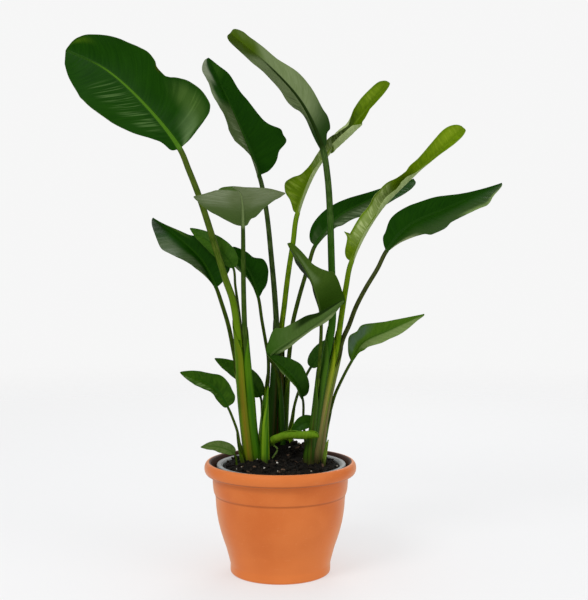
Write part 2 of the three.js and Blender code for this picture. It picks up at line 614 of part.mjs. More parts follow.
function soilMesh() {
  const topRadius = nurseryInside(SOIL_Z) - CLEARANCE;
  const floorRadius = nurseryInside(SOIL_FLOOR_Z) - CLEARANCE;
  const positions = [0, 0, SOIL_FLOOR_Z, 0, 0, soilHeight(0, 0, 0, topRadius)];
  for (let j = 0; j < POT_SEGMENTS; j += 1) {
    const angle = (2 * Math.PI * j) / POT_SEGMENTS;
    positions.push(floorRadius * Math.cos(angle), floorRadius * Math.sin(angle), SOIL_FLOOR_Z);
    for (let i = 1; i <= SOIL_RINGS; i += 1) {
      const distance = (topRadius * i) / SOIL_RINGS;
      const x = distance * Math.cos(angle);
      const y = distance * Math.sin(angle);
      positions.push(x, y, soilHeight(x, y, distance, topRadius));
    }
  }
  const stride = SOIL_RINGS + 1;
  const at = (j, i) => 2 + (j % POT_SEGMENTS) * stride + i;
  const indices = [];
  for (let j = 0; j < POT_SEGMENTS; j += 1) {
    indices.push(0, at(j + 1, 0), at(j, 0), 1, at(j, 1), at(j + 1, 1));
    indices.push(at(j, 0), at(j + 1, 0), at(j + 1, SOIL_RINGS));
    indices.push(at(j, 0), at(j + 1, SOIL_RINGS), at(j, SOIL_RINGS));
    for (let i = 1; i < SOIL_RINGS; i += 1) {
      indices.push(at(j, i), at(j, i + 1), at(j + 1, i + 1));
      indices.push(at(j, i), at(j + 1, i + 1), at(j + 1, i));
    }
  }
  let solid = toManifold(meshGeometry(positions, indices)).translate([NURSERY_SHIFT_X, 0, 0]);
  for (const fan of ['left', 'middle', 'right']) {
    solid = solid.subtract(fanSolid(fan, CLEARANCE));
  }
  for (const leaf of LEAVES.filter((each) => each.fan === 'none')) {
    solid = solid.subtract(stalkSolid(leaf, CLEARANCE));
  }
  return makeMesh('soil', fromManifold(solid), SOIL_BROWN, 0.95);
}

const plant = new THREE.Group();
plant.add(outerPot(), nurseryPot(), soilMesh());
plant.add(fanMesh('left'), fanMesh('middle'), fanMesh('right'));
for (const leaf of LEAVES) plant.add(makeMesh(leaf.name, leafGeometry(leaf), leaf.colour, 0.4));

export default plant;
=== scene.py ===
import math

import bmesh
import bpy
import numpy as np
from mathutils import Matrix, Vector, noise


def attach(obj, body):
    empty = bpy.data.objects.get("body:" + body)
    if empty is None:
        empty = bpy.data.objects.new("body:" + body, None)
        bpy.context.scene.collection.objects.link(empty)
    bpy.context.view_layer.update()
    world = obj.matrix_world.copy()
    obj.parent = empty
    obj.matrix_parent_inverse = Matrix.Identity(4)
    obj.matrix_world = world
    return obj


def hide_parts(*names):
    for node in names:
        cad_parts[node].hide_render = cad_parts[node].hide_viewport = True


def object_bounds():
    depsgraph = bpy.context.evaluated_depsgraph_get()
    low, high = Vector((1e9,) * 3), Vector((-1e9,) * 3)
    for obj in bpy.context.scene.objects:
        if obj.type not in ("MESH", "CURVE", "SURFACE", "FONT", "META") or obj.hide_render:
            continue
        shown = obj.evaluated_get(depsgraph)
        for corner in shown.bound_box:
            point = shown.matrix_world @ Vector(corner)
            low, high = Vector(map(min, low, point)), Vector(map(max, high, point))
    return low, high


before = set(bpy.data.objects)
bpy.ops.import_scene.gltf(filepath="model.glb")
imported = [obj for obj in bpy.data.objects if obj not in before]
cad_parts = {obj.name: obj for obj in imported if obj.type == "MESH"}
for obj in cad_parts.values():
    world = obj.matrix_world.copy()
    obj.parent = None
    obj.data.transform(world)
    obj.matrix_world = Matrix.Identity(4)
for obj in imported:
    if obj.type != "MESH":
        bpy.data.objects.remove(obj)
cad_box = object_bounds()

# A potted bird of paradise: three fans of long-stalked leaves in soil, in a nursery pot that
# stands in a terracotta-coloured outer pot. Lengths are in millimetres until a mesh is made.
# Colours are written as on a screen, two hexadecimal digits each for red, green and blue.
MM = .001
FULL_TURN = 2 * math.pi
RNG = np.random.default_rng(11)
LEFT, RIGHT = 0, 1
SIDES = ("left", "right")


def placed(name, data, place=(0, 0, 0)):
    """A new object in the scene."""
    made = bpy.data.objects.new(name, data)
    made.location = place
    bpy.context.scene.collection.objects.link(made)
    return made


# Camera

CAMERA_PLACE = (.027, -2.096, .627)
CAMERA_TILT = 87.54

camera = placed("camera", bpy.data.cameras.new("camera"), CAMERA_PLACE)
camera.rotation_euler = (math.radians(CAMERA_TILT), 0, 0)
camera.data.lens = 64
camera.data.sensor_width = 36
camera.data.clip_end = 50
bpy.context.scene.camera = camera
bpy.context.scene.view_settings.view_transform = "Standard"
bpy.context.scene.view_settings.look = "None"

# The leaves. Each row has a leaf's name, its stalk's radius at the sheath and at the blade, its
# sheath's radius at the root and throat height, and the points of its stalk and of its rib.
#   face: where the upper face looks, all along or at the foot and the tip
#   fold, curl: how far the halves rise and roll inwards, in degrees: one number, [left, right],
#     those at the foot and at the tip, or (place, left, right, the same at the next place, ...)
#   wave: height, count and start of the ripples; frill: height of finer ones at the margins
#   slant: how far the side veins lean to the tip
#   left, right: half width, where it is widest, bluntness of foot and tip. With _edge, places
#     and shares of that; with _swell, where, by how much and how widely it swells; or else
#     with _width, places and the half widths themselves
#   look: two tones of each face, of rib and stalk, the margin, and how far the rib's colour
#     spreads (glow). low_stalk, foot, tip and rusty: colour, start and end. A painted light patch
#     (painted highlight, sheen and shade, and in places the other face's own colour): colour,
#     side, start and end along the blade and across the half, strength, and contrast
#   base: the sheath's two tones, its stripe's colour, place round the sheath and half width,
#     and the heights where the stripe is full, where it ends, and where the foot is dry or not

ROOT_Z = 175
PLAIN_BASE = (0x365800, 0x567008, 0x2C4000, .4, .05)
DEEP = dict(upper=(0x0F3600, 0x194301), under=(0x3E5622, 0x506832), rib=(0x204804, 0x3E5624),
            margin=0x385410, stalk=(0x223404, 0x425810), glow=.08, gloss=.38, slot="leaf")
UNDER = dict(DEEP, under=(0x546836, 0x6C7C50), rib=(0x2C580A, 0x384C1A), margin=0x68763E)
FRESH = dict(upper=(0x466200, 0x628004), under=(0x809456, 0xA8B880), rib=(0x6E8A18, 0x869C54),
             margin=0xA0B068, stalk=(0x466A00, 0x6E8A0E), glow=.12, gloss=.42, slot="new_leaf")
LEAVES = []


def grow(name, stem, sheath, stalk, rib, **row):
    """Adds a row, with the usual values where it gives none."""
    usual = dict(fan=name.split("_")[1], fold=0, curl=0, slant=.12, frill=1.2, look=DEEP,
                 base=PLAIN_BASE)
    line = np.reshape(stalk + rib, (-1, 3))
    LEAVES.append({**usual, "name": name, "stem": stem, "sheath": sheath, "line": line,
                   "foot": len(stalk) // 3, **row})


grow("leaf_left_crown", [7.5, 5.5], [12, 485], [-57,-2,ROOT_Z, -63,-3,235, -74,-5,340, -79,-6,420,
    -84,-6,480, -93,-6,537, -107,-4,577, -132,0,657, -158,4,737, -180,8,793], [-198,10,835,
    -267.5,28,922, -348.5,45,995, -429,55,1035], face=[.05, -1, .1], fold=[8, 10, 8, 8], curl=[10,
    24], wave=[3, 2, .2], slant=.19, frill=.7, left_width=[0,10, .02,13, .085,17.7, .145,29.5,
    .24,51.7, .36,68.8, .475,78.2, .56,80.3, .655,77.3, .75,68.7, .85,55, .945,30, .975,18, 1,5],
    right_width=[0,23, .025,44.5, .045,69.5, .07,90.6, .11,98.1, .165,99.6, .23,95.5, .285,85.5,
    .31,79, .335,71.2, .37,66.8, .415,68.1, .46,74.9, .505,76.5, .56,73.2, .63,67.3, .71,62,
    .79,54.6, .88,44.5, .94,33, .975,22, 1,6], look=dict(DEEP, rib=(0x4A7616, 0x486230),
    stalk=(0x324A08, 0x526220), glow=.12, low_stalk=(0x5C7E06, -190, -400), rusty=(0x5C4214, .25,
    .31), gleams=[(0x608046, -1, .16, .56, .1, .62, .5, 1), (0x547232, 1, .04, .18, .5, .88, .75,
    .4), (0x6E8A56, 1, -.02, .09, .2, .6, .8, .3), (0x4A6C0C, 1, .76, .98, .66, .9, .7, .4)]),
    base=(0x3E6A00, 0x607A04, 0x7A6812, .88, .13, 300, 520))
grow("leaf_left_forward", [5.5, 4], [13, 470], [-42,4,ROOT_Z, -47,2,230, -54,0,270, -59,-4,340,
    -65,-8,410, -69,-9,470, -71,-11,530, -72,-13,600, -72,-14,650], [-72,-20,682, -70,-80,719,
    -71,-150,739, -80,-222,746], face=[[0, .3, 1], [0, -.1, 1]], fold=(0,0,0, .5,2,5, .8,1,3,
    1,-1,0), curl=[2, -6], wave=[3, 2, .6], frill=.4, left_width=[0,5, .06,8, .11,12, .14,21,
    .25,36, .36,54, .48,68, .56,74, .62,80, .67,70, .72,59, .8,43, .88,28, .94,17, .98,10, 1,4],
    right_width=[0,8, .06,22, .14,42, .22,60, .34,74, .42,81, .5,88, .55,74, .61,58, .68,46,
    .78,36, .88,29, .94,23, .98,16, 1,6], look=dict(UNDER, under=(0x5E6E42, 0x78865E),
    rib=(0x2C580A, 0x768A54), stalk=(0x223E04, 0x40561C), foot=(0x4C642E, .05, .6),
    gleams=[(0x929E7E, 1, .3, .8, .3, .9, .6, .5), (0x889472, -1, .3, .8, .3, .8, .5, .5),
    (0x3E5E0A, 1, .76, 1.1, -.1, 1.1, .95, .1)]), base=(0x2C5C00, 0x467000, 0x224200, .3, .05))
grow("leaf_left_middle", [4.8, 3.8], [8, 395], [-56,12,ROOT_Z, -62,14,240, -74,18,320, -85,22,390,
    -94,26,437, -104,30,485, -118,35,530], [-129,38,561, -155,44,612, -197,50,654, -257,54,700],
    face=[[.1, -.85, .4], [-.1, -.85, .5]], fold=[48, 20, 40, 25], curl=[0, 10], wave=[3, 2, .1],
    left=[52, .7, 1.4, .75], left_edge=[0,1.02, .12,1.02, .27,.97, .42,1.07, .56,1.4, .69,1.4,
    .87,1.14, 1,1.1], right=[41, .15, .8, 1.6], right_edge=[0,.76, .07,.76, .15,.95, .49,1.16,
    .68,.74, .8,.75, 1,.75], look=dict(DEEP, gleams=[(0x162C08, -1, .84, 1.1, -.2, 1.1, .8, 0),
    (0x4E603E, -1, .2, .74, .35, 1.1, .9, .25), (0x42601E, 1, .6, 1.1, .6, 1.1, .8, .1),
    (0x84965C, -1, -.1, .18, .8, 1.1, .8, .3)]), base=(0x406400, 0x5C7606, 0x284202, .4, .05))
grow("leaf_left_back", [2.8, 2.4], [7, 490], [-56,6,ROOT_Z, -64,8,300, -73,8,400, -79,8,490,
    -84,9,530, -89,11,565], [-93,14,600, -116,22,632, -147,32,656, -181,44,679], face=[0, -.9,
    .4], fold=20, wave=[1.5, 2, 0], left=[18, .4, .6, .9], right=[20, .3, .5, .9], look=dict(DEEP,
    upper=(0x224A04, 0x3E6216), rib=(0x284E08, 0x3E5624)))
grow("leaf_left_low", [2.8, 2.4], [7, 262], [-62,-10,ROOT_Z, -72,-14,215, -79,-16,250,
    -84,-19,280, -92,-24,305], [-102,-30,330, -120,-35,361, -152,-39,384, -193,-42,399], face=[0,
    -.8, .5], fold=[30, 20], curl=[0, 10], wave=[2, 2, .4], left=[21, .4, .5, .9],
    left_edge=[0,.68, .23,.68, .57,.92, .87,1.6, 1,1.6], right=[20, .35, .4, .9],
    right_edge=[0,1.28, .13,1.28, .23,1.16, .44,1.29, .61,1, 1,1], look=dict(DEEP,
    upper=(0x1A3C02, 0x385C0E), gleams=[(0x688448, -1, .3, .9, .4, .9, .6, .8)]))
grow("leaf_left_seedling", [2.2, 2], None, [-84,-24,180, -85,-25,215], [-90,-29,238, -111,-34,250,
    -132,-37,254, -154,-40,253], face=[0, -.8, .5], fold=20, wave=[1, 2, 0], left=[11, .4, .5, 1],
    right=[12, .3, .5, 1], look=dict(DEEP, upper=(0x385416, 0x5C703A), rib=(0x405C1E, 0x3E5624)))
grow("leaf_middle_crown", [6, 4.5], [11, 480], [-24,52,ROOT_Z, -20,51,250, -15,50,330, -11,49,400,
    -8,48,470, -11,46,535, -18,44,617, -28,40,713], [-42,36,784, -72,28,862, -106,18,938,
    -141,5,1010], face=[[.6, -.75, .2], [.5, -.8, .2]], fold=(0,60,40, .1,55,40, .17,51,39,
    .24,45,38, .32,34,37, .42,28,35, .56,31,33, .65,29,32, .75,20,31, .85,17,30, 1,26,30),
    wave=[3, 2, .3], left=[58, .45, .6, .45], left_edge=[0,.9, .5,.95, .8,.7, .96,1.3, 1,1.3],
    right=[42, .35, .4, .7], right_swell=[.17, .8, .11], right_edge=[0,1.12, .04,1.12, .12,.88,
    .17,1.05, .21,1.05, .28,1.25, .34,1.15, .42,1, .54,.89, .69,.75, .82,.85, .92,.66, 1,.5],
    look=dict(DEEP, stalk=(0x162E02, 0x425428), gleams=[(0x52623A, -1, 0, .56, -.2, 1.1, .95, .1),
    (0x849070, -1, .15, .5, .1, .6, .6, .9), (0x788664, -1, .56, .8, .75, 1.1, .9, .1), (0x96A084,
    -1, .8, 1.1, .4, 1.1, .95, .1), (0x365C18, 1, .84, .92, 0, 1.1, .6, .2)]), base=(0x183600,
    0x224402, 0x36320E, .95, .08, 330, 440))
grow("leaf_middle_new", [5.5, 5], [12, 470], [-9,63,ROOT_Z, -5,64,260, -2,64,340, 0,62,420,
    2,60,480, 7,60,520, 11,60,555, 17,62,600, 25,65,650], [34,68,710, 80,80,812, 146,95,888,
    222,112,980], face=[-.3, -.9, .25], fold=(0,15,88, .24,15,84, .4,10,20, .7,8,8, .8,18,40,
    1,18,25), curl=(0,10,0, .24,20,10, .34,30,70, .45,60,120, .54,160,120, .64,170,110, .74,60,40,
    .84,10,15, 1,5,5), wave=[1.5, 3, .1], slant=.04, frill=2.2, left_width=[0,6, .03,10,
    .065,18.5, .105,35, .145,41, .185,33, .24,17, .315,12, .435,16, .575,27, .705,20, .815,21.5,
    .925,19, 1,10], right_width=[0,6, .1,14, .25,14, .36,26, .465,38, .6,46, .68,36, .745,16,
    .84,13, .94,11, 1,7], look=dict(FRESH, gleams=[(0x8CA23C, -1, .05, .2, .3, .9, .5, .9),
    (0xA8B87E, -1, .32, .62, -.2, 1.1, .9, .7), (0x849C28, -1, .82, .94, .2, .8, .6, .6)]),
    base=(0x243C02, 0x34420A, 0x5C4022, .86, .2, 330, 440))
grow("leaf_middle_back", [3.6, 3.2], [10, 370], [-42,52,ROOT_Z, -38,52,250, -30,52,330,
    -25,52,380, -25,51,420, -30,50,450, -38,50,496], [-45,51,541, -62,52,590, -96,56,630,
    -145,58,661], face=[[.1, -.85, .4], [-.1, -.85, .5]], fold=[55, 20, 45, 25], curl=[0, 10],
    wave=[3, 2, .7], left=[26, .5, 1.2, .9], left_edge=[0,.45, .09,.45, .2,.83, .29,1.08,
    .38,1.39, .47,1.27, 1,1.2], right=[34, .27, .9, 2.2], right_edge=[0,.59, .05,.59, .11,.83,
    .21,.91, .28,1.01, .37,1.09, .47,.74, .57,.82, .68,.78, .75,.46, 1,.46], look=dict(DEEP,
    gleams=[(0x708458, -1, 0, .7, .75, 1.1, .8, .3)]), base=(0x466A00, 0x688208, 0x325400, .4,
    .05))
grow("leaf_middle_right", [4.5, 4], [9, 395], [4,70,ROOT_Z, 7,69,260, 11,66,340, 15,63,400,
    19,61,440, 23,64,480, 36,70,535, 49,74,580, 58,77,610], [70,80,645, 115,86,702, 185,90,740,
    272,94,781], face=[-.25, -.87, .42], fold=30, wave=[2, 2, .2], left=[28, .3, .5, 1.3],
    left_edge=[0,1.03, .09,1.03, .26,.92, .39,.82, .56,.74, .75,.71, .83,.86, 1,.86], right=[28,
    .65, .67, .3], right_edge=[0,.45, .09,.45, .24,.95, .34,1.58, .46,1.5, .82,1.6, .94,1.56,
    1,1.5], look=dict(DEEP, gleams=[(0x3C502C, 1, -.1, .66, 0, 1.1, .9, .2), (0x425632, -1, -.1,
    .12, -.2, .6, .8, .4), (0x748262, 1, .1, .6, .3, .9, .6, .9)]))
grow("leaf_middle_front", [3.6, 3.2], [8, 375], [4,50,ROOT_Z, 3,48,260, 0,44,330, -4,34,375,
    -12,14,405], [-20,-6,428, 42,-36,476, 83,-62,508, 121,-86,540], face=[-.4, .6, .7], fold=[-10,
    50], wave=[2, 2, .5], left_width=[0,6, .05,11, .11,13.5, .165,15, .3,11.5, .527,13, .657,14,
    .809,11, .93,5, 1,2], right_width=[0,5, .097,19.4, .183,33, .248,25, .322,23.4, .471,21,
    .654,10.9, .849,5.9, 1,2], look=dict(UNDER, under=(0x405C20, 0x506A34), rib=(0x405C20,
    0x48642A), glow=0, foot=(0x325810, 0, .3), gleams=[(0x182E04, 1, .3, 1.1, .42, 1.1, 1, 0),
    (0x8CA068, -1, .06, .7, .5, 1.1, .8, .3)]), base=(0x1E4202, 0x305406, 0x1E3602, .3, .05))
grow("leaf_middle_low_back", [2.6, 2.4], [6.5, 275], [-30,66,ROOT_Z, -34,64,250, -38,61,300],
    [-41,57,338, -62,48,373, -96,42,398, -132,38,418], face=[0, -.8, .5], fold=20, wave=[1.5, 2,
    0], left=[22, .4, .5, .9], right=[18, .35, .5, .9], look=dict(DEEP, upper=(0x1C4204,
    0x365C0C)))
grow("leaf_middle_low_right", [3, 2.6], [7, 300], [12,52,ROOT_Z, 17,53,230, 21,54,280, 26,55,312,
    35,56,345, 50,58,378], [61,60,398, 77,62,420, 95,64,440, 112,66,458], face=[-.2, -.8, .5],
    fold=20, wave=[1, 2, 0], left=[17, .4, .5, .9], right=[17, .35, .5, .9], look=dict(DEEP,
    upper=(0x204408, 0x325814)), base=(0x5C8608, 0x7A9C1A, 0x3C6400, .4, .05))
# leaf_right_crown's rib on the lower face is painted shade: a dark line along the rib
grow("leaf_right_crown", [7.5, 6], [12, 470], [52,4,ROOT_Z, 57,3,230, 66,2,275, 76,1,340,
    84,1,385, 94,2,440, 102,1,490, 103,-2,545, 101,-4,596, 99,-8,660, 97,-10,715, 92,-12,780],
    [82,-14,835, 42,-32,918, -20,-56,984, -92,-85,1040], face=[.1, .95, .3], fold=[66, 60, 60,
    56], wave=[3, 3, .2], left=[44, .4, .6, .3], left_edge=[0,.92, .05,.92, .1,1.6, .16,1.39,
    .25,1.04, .34,1.13, .43,1.06, .56,.79, .72,.68, .85,.66, .94,.88, 1,.88], right=[46, .4, .7,
    .3], right_edge=[0,.48, .24,.48, .34,.9, .46,.88, .56,.98, .69,.73, .82,1.02, .96,1.24,
    1,1.24], look=dict(UNDER, under=(0x667848, 0x7A8A5E), rib=(0x325014, 0x1A2E04),
    stalk=(0x1C3A06, 0x48602C), tip=(0x405802, .66, .82), foot=(0x1E3C08, .08, .32),
    low_stalk=(0x285404, -60, -260), gleams=[(0x283E16, 1, .08, .36, .1, .7, .6, 1), (0x7E8E64, 1,
    .68, .72, -.2, .6, .8, .2), (0x76865C, -1, .66, .7, .2, .9, .7, .2)]), base=(0x204202,
    0x3A5E0A, 0x2C3C0A, .4, .05))
grow("leaf_right_new", [6, 5], [11, 460], [66,8,ROOT_Z, 70,8,240, 80,9,300, 88,10,340, 98,12,385,
    112,14,445, 120,15,498, 130,16,562], [141,18,613, 196,24,712, 270,30,788, 366,34,876],
    face=[-.3, -.9, .25], fold=(0,15,86, .3,12,86, .42,8,84, .5,8,62, .6,8,84, .75,18,40,
    1,18,25), curl=(0,10,0, .3,15,5, .42,110,60, .62,120,60, .74,40,30, .84,10,15, 1,5,5),
    wave=[1.5, 3, .5], slant=.04, frill=2.2, left_width=[0,8, .045,15.5, .115,22.5, .145,35.5,
    .17,22.5, .21,22.5, .305,20, .4,30, .485,34, .56,28, .645,24, .73,18, .82,22, .915,26, 1,16],
    right_width=[0,6, .1,12, .3,14, .42,14, .5,20, .6,14, .72,9, .81,12.5, .9,13, 1,8],
    look=dict(FRESH, upper=(0x506E00, 0x6E8C0A), gleams=[(0xB8C884, -1, .14, .44, -.2, .8, .9,
    .6), (0x8CA428, -1, .84, .97, .2, .8, .6, .6)]), base=(0x567A02, 0x82940C, 0x8E744C, .9, .24,
    280, 430, 250, 350))
grow("leaf_right_outer", [4.8, 4.2], [9, 430], [74,18,ROOT_Z, 80,18,240, 88,18,300, 98,19,350,
    110,21,400, 124,25,457, 136,26,484, 150,27,521, 169,28,558, 193,29,598], [212,30,635,
    255,36,684, 337,40,722, 442,42,769], face=[-.25, -.87, .42], fold=30, wave=[2, 2, .8],
    left=[42, .33, .9, 1.5], left_edge=[0,.86, .07,.86, .15,.69, .24,.76, .35,.75, .47,.75,
    .64,.84, .83,.6, 1,.6], right=[50, .48, 1.1, .6], right_edge=[0,.66, .08,.66, .22,.88,
    .36,1.01, .44,1.38, .53,1.43, .64,1.07, .78,1.17, .86,1.47, .94,1.12, 1,1.12], look=dict(DEEP,
    rib=(0x1A4003, 0x3E5624), stalk=(0x262C0C, 0x465020), right_half=(0x324A1E, .75),
    gleams=[(0x96A074, 1, -.1, .22, .75, 1.1, .85, .3), (0x849C5C, 1, .62, 1.1, .86, 1.1, .85,
    .2)]), base=(0x3E5C0A, 0x62702A, 0x7E6E46, .24, .14, 280, 420))
grow("leaf_right_front", [3.6, 3.2], [8, 395], [58,-6,ROOT_Z, 62,-8,260, 70,-11,340, 76,-14,400,
    79,-20,450, 80,-28,485], [79,-36,513, 67,-48,562, 46,-54,604, 15,-61,648], face=[.6, .77, .2],
    fold=40, wave=[2, 2, 0], left_width=[0,5, .03,14, .06,21, .12,48.5, .24,46, .38,44.6,
    .46,35.3, .54,23.5, .65,14.8, .73,12.8, .81,11.5, .88,10, .94,8, .98,5.5, 1,3], right=[27, .5,
    .9, .9], right_edge=[0,.6, .4,.66, .5,1.26, .62,1.6, .77,1.6, 1,1.5], look=dict(UNDER,
    under=(0x344E12, 0x425C1C), rib=(0x3C541A, 0x3C541A), glow=0, foot=(0x264204, .1, .5),
    tip=(0x46620E, .8, 1), gleams=[(0x627848, -1, .4, .84, -.2, .3, .7, .2), (0x182A06, 1, -.1,
    .7, .1, 1.1, .95, 0)]), base=(0x224202, 0x3E5C0C, 0x484214, .86, .05))
grow("leaf_right_low_front", [2.6, 2.4], [6, 245], [58,26,ROOT_Z, 54,35,230, 48,40,270, 46,36,300,
    46,26,325], [44,16,342, 34,4,372, 10,-4,402, -26,-12,432], face=[.49, -.77, .42], fold=40,
    wave=[1.5, 2, .3], left=[25, .4, .5, .9], left_edge=[0,.97, .27,.97, .57,1.5, .81,1.6, 1,1.6],
    right=[23, .3, .5, 1], right_edge=[0,.79, .12,.79, .35,.96, .56,1.31, .73,1.36, .91,1.09,
    1,1.09], look=dict(DEEP, upper=(0x183C02, 0x2C500A), gleams=[(0x60743C, -1, 0, 1, .8, 1.1, .7,
    .2)]))
grow("leaf_right_low_outer", [3.2, 2.8], [8, 300], [76,24,ROOT_Z, 84,24,240, 92,24,285, 99,26,312,
    109,30,346, 118,33,366, 130,36,390], [143,40,413, 164,38,449, 218,32,476, 286,22,508],
    face=[-.25, -.8, .5], fold=[30, 20], wave=[1.5, 2, .1], left=[31, .35, .9, 1.2],
    left_edge=[0,.71, .17,.71, .29,.88, .36,.76, .43,.95, .56,.82, .69,.76, .82,.7, 1,.7],
    right=[18, .66, .9, .5], right_edge=[0,.45, .13,.45, .3,1.22, .5,1.41, .64,1.25, .78,1.27,
    .96,.65, 1,.65], look=dict(DEEP, upper=(0x385C0C, 0x4C7018), rib=(0x3A5C0E, 0x3E5624), glow=0,
    gleams=[(0x546A5A, -1, .12, .4, .3, .9, .8, .3), (0x223C0E, -1, -.1, .08, .3, 1.1, .9, .1),
    (0x7C9254, 1, .24, .95, .05, 1.1, .9, .2)]))
grow("leaf_right_seedling", [2.2, 2], [5.5, 235], [64,22,ROOT_Z, 68,27,230, 69,26,265],
    [67,23,290, 50,20,292, 36,18,284, 20,18,266], face=[0, -.9, .4], fold=15, wave=[1, 2, 0],
    left=[13, .4, .5, .9], right=[13, .35, .5, .9], look=dict(DEEP, upper=(0x1C4406, 0x30580C)))
grow("shoot_front", [2.4, 2], None, [-22,14,180, -21,13,213, -6,9,240], [-14,4,251, 12,-8,264.5,
    50,-26,268, 76,-37,273], face=[0, -.3, 1], curl=[190, 165], wave=[1, 2, 0], frill=2.2,
    left_width=[0,8, .06,16, .15,21, .3,22, .6,24, .85,21, .96,14, 1,7], right_width=[0,8, .06,17,
    .15,23, .3,22, .6,22, .85,20, .96,13, 1,7], look=dict(FRESH, under=(0x4A720A, 0x70901E),
    rib=(0x4E7C06, 0x467206), margin=0x4E7C06, stalk=(0x628234, 0x849C54)))

# Two sheaths without a leaf of their own: a short outer base between the left and the middle
# clump, and a pale scale outside the right clump
grow("outer_base", [3.4, 3], [12.5, 352], [-31,-9,ROOT_Z, -31,-8,235, -30,-3,300, -28,4,352],
    [-26,8,376, -24,12,392], fan="left", face=[0, -1, .2], look=None, base=(0x326400, 0x709414,
    0x245200, 1, .2, 600, 700))
grow("right_scale", [2.2, 2], [4.5, 250], [82,-10,ROOT_Z, 84,-10,205, 88,-9,232, 91,-8,254],
    [93,-7,262, 94,-6,270], fan="right", face=[0, -1, .2], look=None, base=(0x628818, 0x92AE42,
    0x5A7814, .5, .05))


# Materials


def srgb(code):
    """A screen's colour as linear red, green, blue and alpha."""
    levels = [(code >> shift & 255) / 255 for shift in (16, 8, 0)]
    return [v / 12.92 if v <= .04045 else ((v + .055) / 1.055) ** 2.4 for v in levels] + [1]


def grey(level):
    return (level, level, level, 1)


class Graph:
    """The nodes of a new material, or of a world."""

    def __init__(self, name, owner=None):
        self.owner = owner or bpy.data.materials.new(name)
        self.owner.use_nodes = True
        self.tree = self.owner.node_tree
        self.tree.nodes.clear()

    def node(self, kind, inputs, **settings):
        """The outputs of a new node. Its inputs are sockets to link or constants."""
        made = self.tree.nodes.new("ShaderNode" + kind)
        for key, value in settings.items():
            setattr(made, key, value)
        for key, value in inputs.items():
            if isinstance(value, bpy.types.NodeSocket):
                self.tree.links.new(value, made.inputs[key])
            else:
                made.inputs[key].default_value = value
        return made.outputs

    def attribute(self, name):
        return self.node("Attribute", {}, attribute_name=name)["Fac"]

    def place(self):
        return self.node("TexCoord", {})["Object"]

    def facing(self):
        return self.node("LayerWeight", {"Blend": .5})["Facing"]

    def vector(self, x, y, z=0):
        return self.node("CombineXYZ", {0: x, 1: y, 2: z})[0]

    def split(self, vector):
        return self.node("SeparateXYZ", {"Vector": vector})

    def length(self, vector):
        return self.node("VectorMath", {0: vector}, operation="LENGTH")["Value"]

    def math(self, operation, a, b=0, c=0):
        return self.node("Math", {0: a, 1: b, 2: c}, operation=operation)[0]

    def times(self, a, b, *more):
        made = self.math("MULTIPLY", a, b)
        return self.times(made, *more) if more else made

    def add(self, a, share, b):
        """b and a share of a."""
        return self.math("MULTIPLY_ADD", a, share, b)

    def away(self, value, centre):
        return self.math("ABSOLUTE", self.math("SUBTRACT", value, centre))

    def band(self, value, low, high, out_low=0, out_high=1):
        """A smooth step from out_low to out_high."""
        inputs = {"Value": value, "From Min": low, "From Max": high, "To Min": out_low,
                  "To Max": out_high}
        return self.node("MapRange", inputs, interpolation_type="SMOOTHSTEP")[0]

    def window(self, value, low, high, before, after):
        """1 from low to high and 0 elsewhere, with smooth steps."""
        return self.times(self.band(value, low - before, low + after),
                          self.band(value, high + before, high - after))

    def mix(self, share, a, b):
        a, b = (srgb(colour) if isinstance(colour, int) else colour for colour in (a, b))
        return self.node("Mix", {0: share, 6: a, 7: b}, data_type="RGBA")[2]

    def noise(self, vector, scale, detail=2, rough=.5):
        inputs = {"Vector": vector, "Scale": scale, "Detail": detail, "Roughness": rough}
        return self.node("TexNoise", inputs)["Fac"]

    def finish(self, colour, roughness, height, strength, distance, specular=.5):
        """The shader, with a bump of a strength and a distance in millimetres."""
        bump = {"Height": height, "Strength": strength, "Distance": distance * MM}
        shader = self.node("BsdfPrincipled", {
            "Base Color": colour, "Roughness": roughness, "Specular IOR Level": specular,
            "Normal": self.node("Bump", bump)[0]})
        self.node("OutputMaterial", {"Surface": shader[0]})
        return self.owner


LEAF_DATA = ("row", "share", "along", "upper", "rib", "side")
RIB_SEEN = .86, .6
STALK_SHADE, SHEATH_SHADE, SHEATH_LOW_TONE, DRY = 0x162004, 0x142602, 0x28260C, 0x70663C
# Heights between which the sheaths grow darker towards the bottom
SHEATH_DARKENING_HEIGHTS = 238, 212


